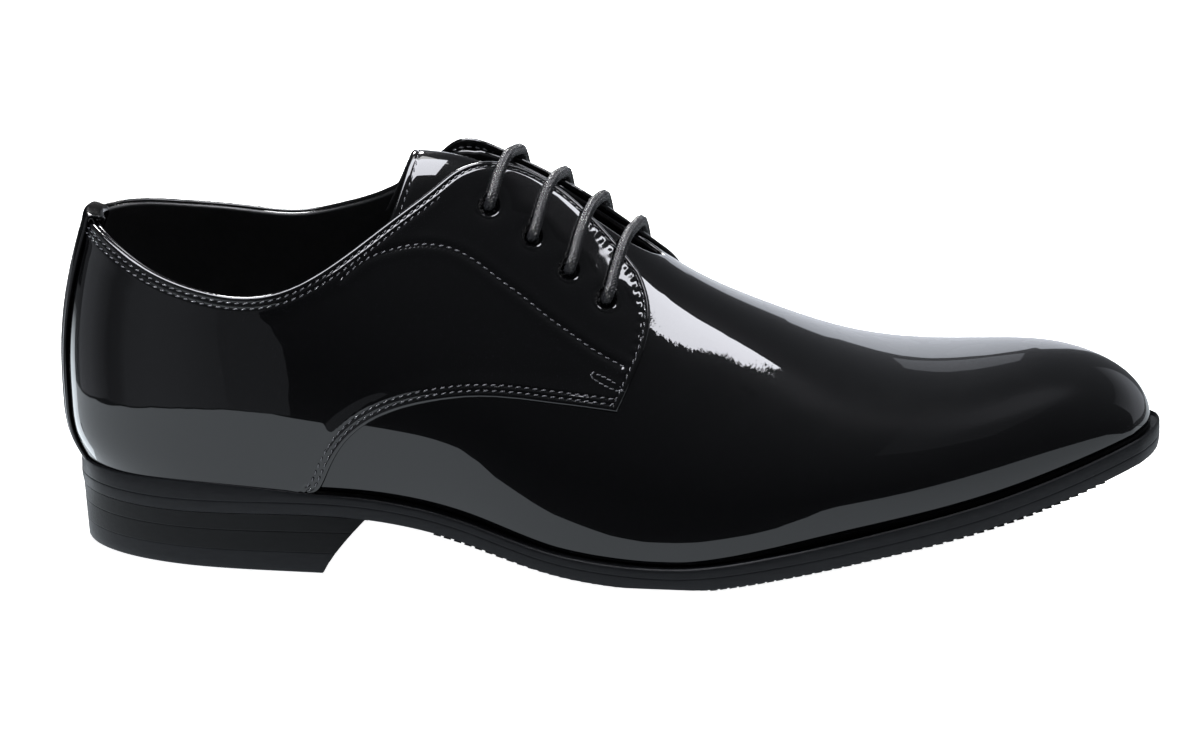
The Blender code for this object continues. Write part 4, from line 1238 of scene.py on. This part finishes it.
# %% Stitch rows
FOLDED, SEWN_SINK = 0.93, 0.12
SEWN_OFF = UPPER_WALL + GAP + QUARTER_WALL + EDGE_FOLD - SEWN_SINK
TACK_DEG, TACK_HIGH, TACK_SLANT, TACK_LONG = 55.9, 0.9, 0.35, 4.4
TACK_PLACE, TACK_PITCH, TACK_SUNK = {"lateral": 148.4, "medial": 154.0}, 1.5, 0.1


def inset_line(line, gap):
    """A row of turns and angles moved sideways on the last by a gap, to the left of its run."""
    turn, angle = line.T
    along = (last(turn + STEP, angle) - last(turn - STEP, angle)) / (2 * STEP)
    down = (last(turn, angle + STEP) - last(turn, angle - STEP)) / (2 * STEP)
    ahead = np.gradient(last(turn, angle), axis=0)
    ahead /= np.linalg.norm(ahead, axis=1, keepdims=True)
    inward = gap * np.cross(outward(turn, angle), ahead)
    moved = [np.linalg.lstsq(np.column_stack(pair), push, rcond=None)[0]
             for pair, push in zip(zip(along, down), inward)]
    return line + np.array(moved)


def clear_of_corner(line, border, gap):
    """Drop what an inset row would fold over at a corner."""
    away, _ = nearest(last(*line.T), last(*border.T))
    return line[away > gap * FOLDED]


def sew(name, lines, off, pitch=STITCH_PITCH):
    """One mesh of stitches for some rows at a height over the last."""
    points, normals, edges = [], [], []
    for line in lines:
        place = even(line, 400)
        start = len(points)
        points += list(skin(place[:, 0], place[:, 1], np.full(len(place), off)))
        normals += list(outward(place[:, 0], place[:, 1]))
        edges += [(k, k + 1) for k in range(start, len(points) - 1)]
    sizes = {"Pitch": pitch * MM, "Size": [part * MM for part in STITCH_SIZE],
             "Turn": (0.0, 0.0, math.radians(STITCH_SLANT)), "Material": thread}
    return dress(grow(name, points, edges, stitches, sizes, {"lift": normals}), "patent_leather")


def stretches(keep):
    """First and last places of each unbroken stretch of a mask."""
    steps = np.flatnonzero(np.diff(np.concatenate([[0], keep.astype(int), [0]])))
    return zip(steps[::2], steps[1::2])


def small_loop(side, station):
    """The tack that locks the facing's corner: a narrow closed loop that slants to the front."""
    spin = np.linspace(0, 2 * math.pi, 60)
    degrees = TACK_DEG + TACK_HIGH * np.sin(spin) + TACK_SLANT * np.cos(spin)
    return np.column_stack([turn_of(station + TACK_LONG * np.cos(spin)), side * np.radians(degrees)])


for side, edge, table in SIDES:
    border = borders[edge]
    rows = []
    for gap, keep in zip(ROW_GAPS, (np.ones(len(border), bool), second_row(border))):
        turned = inset_line(border, side * gap)
        rows += [clear_of_corner(turned[start:end], border, gap) for start, end in stretches(keep)]
    sew("stitches_" + edge, rows, SEWN_OFF)
    sew("stitches_facing_" + edge, [seams[edge]], SEWN_OFF - EDGE_FOLD)
    sew("tack_" + edge, [small_loop(side, TACK_PLACE[edge])], SEWN_OFF - TACK_SUNK, TACK_PITCH)

TONGUE_ROW, TONGUE_ROW_REACH = 0.027, 0.95
across = np.linspace(-TONGUE_ROW_REACH, TONGUE_ROW_REACH, 200)
free_row = np.column_stack(tongue_places(np.full(len(across), TONGUE_ROW), across))
sew("stitches_tongue", [free_row], -TONGUE_GAP - TONGUE_DIP)

# %% [markdown]
# Tread
#
# Under the ball the sole stands on low bars moulded across it, and their ends make the fine saw
# edge that is seen below the toe. The bars repeat along the sole and only their length changes, so
# Geometry Nodes set one block at even steps along the middle and stretch it to the local width.

# %% Tread bars
TREAD_PITCH, TREAD_BAR, TREAD_INSET = 2.8, 2.1, 0.8
TREAD_FIRST, TREAD_LAST = 104.0, 284.0


def tread_tree():
    """A block at every step, turned along the sole and stretched to its width there."""
    tree, given, dots = start_tree("tread bars", [(name, "Float") for name in ("Pitch", "Bar", "Height")])
    block = add(tree, "GeometryNodeMeshCube", {"Size": (1.0, 1.0, 1.0)})
    width = add(tree, "GeometryNodeInputNamedAttribute", {"Name": "width"}, data_type="FLOAT")
    size = add(tree, "ShaderNodeCombineXYZ", {
        "X": given["Bar"], "Y": width.outputs[0], "Z": given["Height"]})
    tangent = add(tree, "GeometryNodeInputTangent").outputs[0]
    ahead = add(tree, "FunctionNodeAlignRotationToVector", {"Vector": tangent}, axis="X")
    bars = add(tree, "GeometryNodeInstanceOnPoints", {
        "Points": dots, "Instance": block.outputs["Mesh"], "Rotation": ahead.outputs[0],
        "Scale": size.outputs[0]})
    return end_tree(tree, bars.outputs[0], given["Material"], smooth=False)


at = turn_of(np.linspace(TREAD_FIRST, TREAD_LAST, 300))
flanks = [outline(at, side, column(SOLE_EDGE, edge, at) - TREAD_INSET) for side, edge, _ in SIDES]
under = np.maximum(column(SECTIONS, "feather", at) - SOLE_DEPTH, 0.0) + TREAD / 2
middle = np.column_stack([(flanks[0] + flanks[1]) / 2, under])
widths = abs(flanks[1][:, 1] - flanks[0][:, 1]) * MM
sizes = {"Pitch": TREAD_PITCH * MM, "Bar": TREAD_BAR * MM, "Height": TREAD * MM, "Material": rubber}
links = [(k, k + 1) for k in range(len(middle) - 1)]
dress(grow("tread_bars", middle, links, tread_tree(), sizes, {"width": widths}), "sole_rubber")

# %% [markdown]
# Floor, cards and lamps
#
# A mirror-black shoe is drawn by what it reflects. A pale sheet round the sole gives the grey band
# along the foot, a bright panel behind gives the pale strip on the ridge, and a small softbox close
# above gives the white window on the vamp. A dim dome stands for the rest of the room. These cards
# are seen by mirror rays only; the floor that the camera sees is plain white paper.

# %% Floor and dome
def glow(name, tint, strength, fade=None):
    """Emission for a card; a fade is a direction, two places along it in mm and the second strength."""
    material = bpy.data.materials.new(name)
    material.use_nodes = True
    tree = material.node_tree
    tree.nodes.clear()
    light = add(tree, "ShaderNodeEmission", {"Color": linear(tint), "Strength": strength})
    if fade is not None:
        direction, start, end, second = fade
        place = add(tree, "ShaderNodeTexCoord").outputs["Object"]
        along = add(tree, "ShaderNodeVectorMath", {0: place, 1: direction}, operation="DOT_PRODUCT")
        mix = add(tree, "ShaderNodeMapRange", {
            "Value": along.outputs["Value"], "From Min": start * MM, "From Max": end * MM,
            "To Min": strength, "To Max": second})
        fill(tree, light, {"Strength": mix.outputs["Result"]})
    add(tree, "ShaderNodeOutputMaterial", {"Surface": light.outputs[0]})
    return material


def stage(name, mesh, camera_sees, glossy, diffuse):
    """An object of the studio, not of the shoe, and which rays meet it."""
    item = bpy.data.objects.new(name, mesh)
    bpy.context.scene.collection.objects.link(item)
    item.visible_camera = camera_sees
    item.visible_glossy = glossy
    item.visible_diffuse = diffuse
    item.visible_shadow = camera_sees
    return item


def card(corners, material, camera_sees=False):
    """A flat card in last millimetres; what the camera sees is not mirrored, and the rest only is."""
    mesh = bpy.data.meshes.new(material.name)
    mesh.from_pydata(to_frame(corners).tolist(), [], [list(range(len(corners)))])
    mesh.materials.append(material)
    return stage(material.name, mesh, camera_sees, not camera_sees, camera_sees)


def paper_floor():
    """Matt white paper, lit so that it reads as plain white."""
    material, tree, shader, place = start_material("white paper")
    grain = add(tree, "ShaderNodeTexNoise", {"Vector": place, "Scale": per_mm(3.0), "Detail": 3.0})
    tone = add(tree, "ShaderNodeValToRGB", {"Fac": grain.outputs["Fac"]})
    tone.color_ramp.elements[0].color = linear("#f6f6f6")
    tone.color_ramp.elements[1].color = linear("#fcfcfc")
    fill(tree, shader, {
        "Base Color": tone.outputs["Color"], "Roughness": 0.9,
        "Emission Color": linear("#ffffff"), "Emission Strength": 0.95})
    return material


FLOOR_REACH, DOME_RADIUS = 4000.0, 3000.0
ROOM_TINT = "#f0f5ff"
corners = [(-1, -1), (1, -1), (1, 1), (-1, 1)]
card([(x * FLOOR_REACH, y * FLOOR_REACH, -0.3) for x, y in corners], paper_floor(), camera_sees=True)

shape = bmesh.new()
bmesh.ops.create_icosphere(shape, subdivisions=4, radius=DOME_RADIUS * MM)
dome_mesh = bpy.data.meshes.new("dim room")
shape.to_mesh(dome_mesh)
shape.free()
toward_bright = (0.0, 0.6, 0.8)
dome_mesh.materials.append(glow("dim room", ROOM_TINT, 0.06, (toward_bright, -1650.0, 2760.0, 0.2)))
stage("dim room", dome_mesh, camera_sees=False, glossy=True, diffuse=False)

world = bpy.data.worlds.new("studio")
bpy.context.scene.world = world
world.use_nodes = True
sky = world.node_tree
sky.nodes.clear()
white = add(sky, "ShaderNodeBackground", {"Color": linear("#ffffff"), "Strength": 1.0})
dark = add(sky, "ShaderNodeBackground", {"Color": linear(ROOM_TINT), "Strength": 0.10})
ray = add(sky, "ShaderNodeLightPath").outputs["Is Camera Ray"]
either = add(sky, "ShaderNodeMixShader", {0: ray, 1: dark.outputs[0], 2: white.outputs[0]})
add(sky, "ShaderNodeOutputWorld", {"Surface": either.outputs[0]})
print("floor, dome and world set")

# %% Outlines of the cards
SHEET = [
    (-128, 130), (-127, 70), (-125, -18), (-105, -79), (-75, -128), (-39, -160), (2, -185), (26, -186),
    (40, -174), (53, -182), (68, -180), (86, -148), (97, -120), (119, -94), (139, -82), (151, -80),
    (167, -84), (196, -99), (211, -126), (222, -161), (240, -190), (300, -203), (380, -203), (450, -180),
    (510, -128), (515, -95), (410, -30), (440, 20), (440, 60), (-25, 60), (-40, 15), (-72, 30), (-78, 130),
]
BEHIND = [(110, 62), (440, 62), (480, 180), (460, 300), (110, 300)]
BEHIND_HEEL = [(-30, 8), (-76, 38), (-382, 228), (-271, 350), (-54, 62), (-18, 14)]
PANEL = [
    (100, 0), (352, 0), (352, 117), (334, 168), (320, 184), (306, 192), (298, 177), (290, 190), (283, 198),
    (270, 205), (100, 205),
]
HIGH_PANEL = [(240, 222), (290, 222), (291, 283), (270, 300), (240, 300)]
DARK_CLOTH = [(-900, -20), (90, -20), (90, 420), (-900, 420)]
SOFTBOX = [
    (553, 199), (541, 165), (527, 99), (502, 40), (490, -8), (490, -45), (500, -90), (520, -140),
    (545, -180), (576, -205), (604, -256), (632, -292), (660, -340), (700, -390), (745, -275), (805, -170),
    (865, -10), (905, 90), (930, 168), (600, 170), (568, 191),
]
TOE_FLAG = [(252, -130), (350, -130), (350, 100), (252, 100)]
FACING_FLAG = [(165, -75), (214, -75), (224, -22), (208, -4), (170, 4)]
FACING_CARD = [(186, 3), (203, -6), (212, -1), (228, 2), (231, 41), (215, 30), (203, 11), (191, 13)]
COLLAR_STRIP = [(-120, -110), (180, -110), (180, 60), (-120, 60)]
LEFT_END = [(31, 0), (2, 0), (2, 170), (44, 170), (44, 78), (34, 24)]
TOE_WALL = [(886, 99), (755, 381), (600, 510)]
LEFT_WALL = [(2, -189), (-41, -163), (-77, -131), (-98, -96), (-107, -81), (-120, -61), (-127, -50)]
LEFT_WALL += [(-129, -10), (-130, 40)]
LEFT_TONES = [0.28, 0.36, 0.38, 0.34, 0.22, 0.18, 0.26, 0.46, 0.46]
print("corners of the softbox:", len(SOFTBOX))


# %% Cards
def lying(corners, height):
    return [(x, y, height) for x, y in corners]


def standing(corners, place):
    return [(x, place, height) for x, height in corners]


SHEET_TINT, BOX_TINT = "#e6eef5", "#f6f7ff"
ALONG, UPWARD, FROM_HEEL = (1.0, 0.0, 0.0), (0.0, 0.0, 1.0), (-0.68, 0.73, 0.0)
HEEL_FADE = (FROM_HEEL, 225.0, 490.0, 0.5)
CARDS = [
    ("pale sheet", lying(SHEET, -0.1), SHEET_TINT, 1.75, (ALONG, -270.0, 190.0, 1.1)),
    ("pale sheet behind", lying(BEHIND, -0.1), SHEET_TINT, 0.85, None),
    ("bright sheet behind the heel", lying(BEHIND_HEEL, 0.1), SHEET_TINT, 4.4, HEEL_FADE),
    ("back panel", standing(PANEL, 300), ROOM_TINT, 1.0, (UPWARD, 20.0, 180.0, 1.85)),
    ("high back panel", standing(HIGH_PANEL, 301), ROOM_TINT, 0.7, None),
    ("dark cloth", standing(DARK_CLOTH, 500), ROOM_TINT, 0.015, None),
    ("left wall's end", standing(LEFT_END, -187.5), ROOM_TINT, 0.24, None),
    ("softbox", lying(SOFTBOX, 1000), BOX_TINT, 16.0, None),
    ("flag over the toe", lying(TOE_FLAG, 150), ROOM_TINT, 0.2, None),
    ("flag over the facing", lying(FACING_FLAG, 200), ROOM_TINT, 0.1, None),
    ("small card over the facing", lying(FACING_CARD, 199), BOX_TINT, 16.0, None),
    ("strip over the collar", lying(COLLAR_STRIP, 400), BOX_TINT, 16.0, None),
]
for name, corners, tint, strength, fade in CARDS:
    card(corners, glow(name, tint, strength, fade))


def wall(name, near, far, height, strength, fade):
    """An upright card on the floor between two places."""
    corners = [near + (0.0,), far + (0.0,), far + (height,), near + (height,)]
    return card(corners, glow(name, ROOM_TINT, strength, fade))


TOE_WALL_HEIGHT, LEFT_WALL_HEIGHT = 450.0, 170.0
for number, (near, far) in enumerate(zip(TOE_WALL, TOE_WALL[1:]), 1):
    wall("wall beyond the toe %d" % number, near, far, TOE_WALL_HEIGHT, 0.62, (UPWARD, 260.0, 450.0, 0.25))
for k, (near, far) in enumerate(zip(LEFT_WALL, LEFT_WALL[1:])):
    run = np.subtract(far, near)
    length = np.linalg.norm(run)
    start = run / length @ np.subtract(near, (CENTRE_X, CENTRE_Y))
    fade = (*(run / length), 0.0), start, start + length, LEFT_TONES[k + 1]
    wall("left wall %d" % (k + 1), near, far, LEFT_WALL_HEIGHT, LEFT_TONES[k], fade)
print("cards:", len(CARDS), "and walls:", len(TOE_WALL) + len(LEFT_WALL) - 2)


# %% Lamps
def lamp(name, place, aim, size, power):
    light = bpy.data.lights.new(name, "AREA")
    light.shape = "RECTANGLE"
    light.size, light.size_y = size[0] * MM, size[1] * MM
    light.energy = power
    item = bpy.data.objects.new(name, light)
    item.location = to_frame(place)
    item.rotation_euler = Vector(to_frame(aim) - to_frame(place)).to_track_quat("-Z", "Y").to_euler()
    item.visible_camera = False
    bpy.context.scene.collection.objects.link(item)
    return item


lamp("top light", (60, 100, 1100), (120, 0, 60), (500, 500), 6.0)
lamp("rim light", (-40, 720, 700), (100, 0, 60), (260, 260), 9.0)
left = lamp("left light", (-420, -420, 520), (120, 0, 90), (90, 90), 12.0)
left.light_linking.receiver_collection = bpy.data.collections.new("cord and thread")
for item in bpy.data.objects:
    if item.name.startswith(("lace_cord", "stitches", "tack")):
        left.light_linking.receiver_collection.objects.link(item)
print("lamps set")
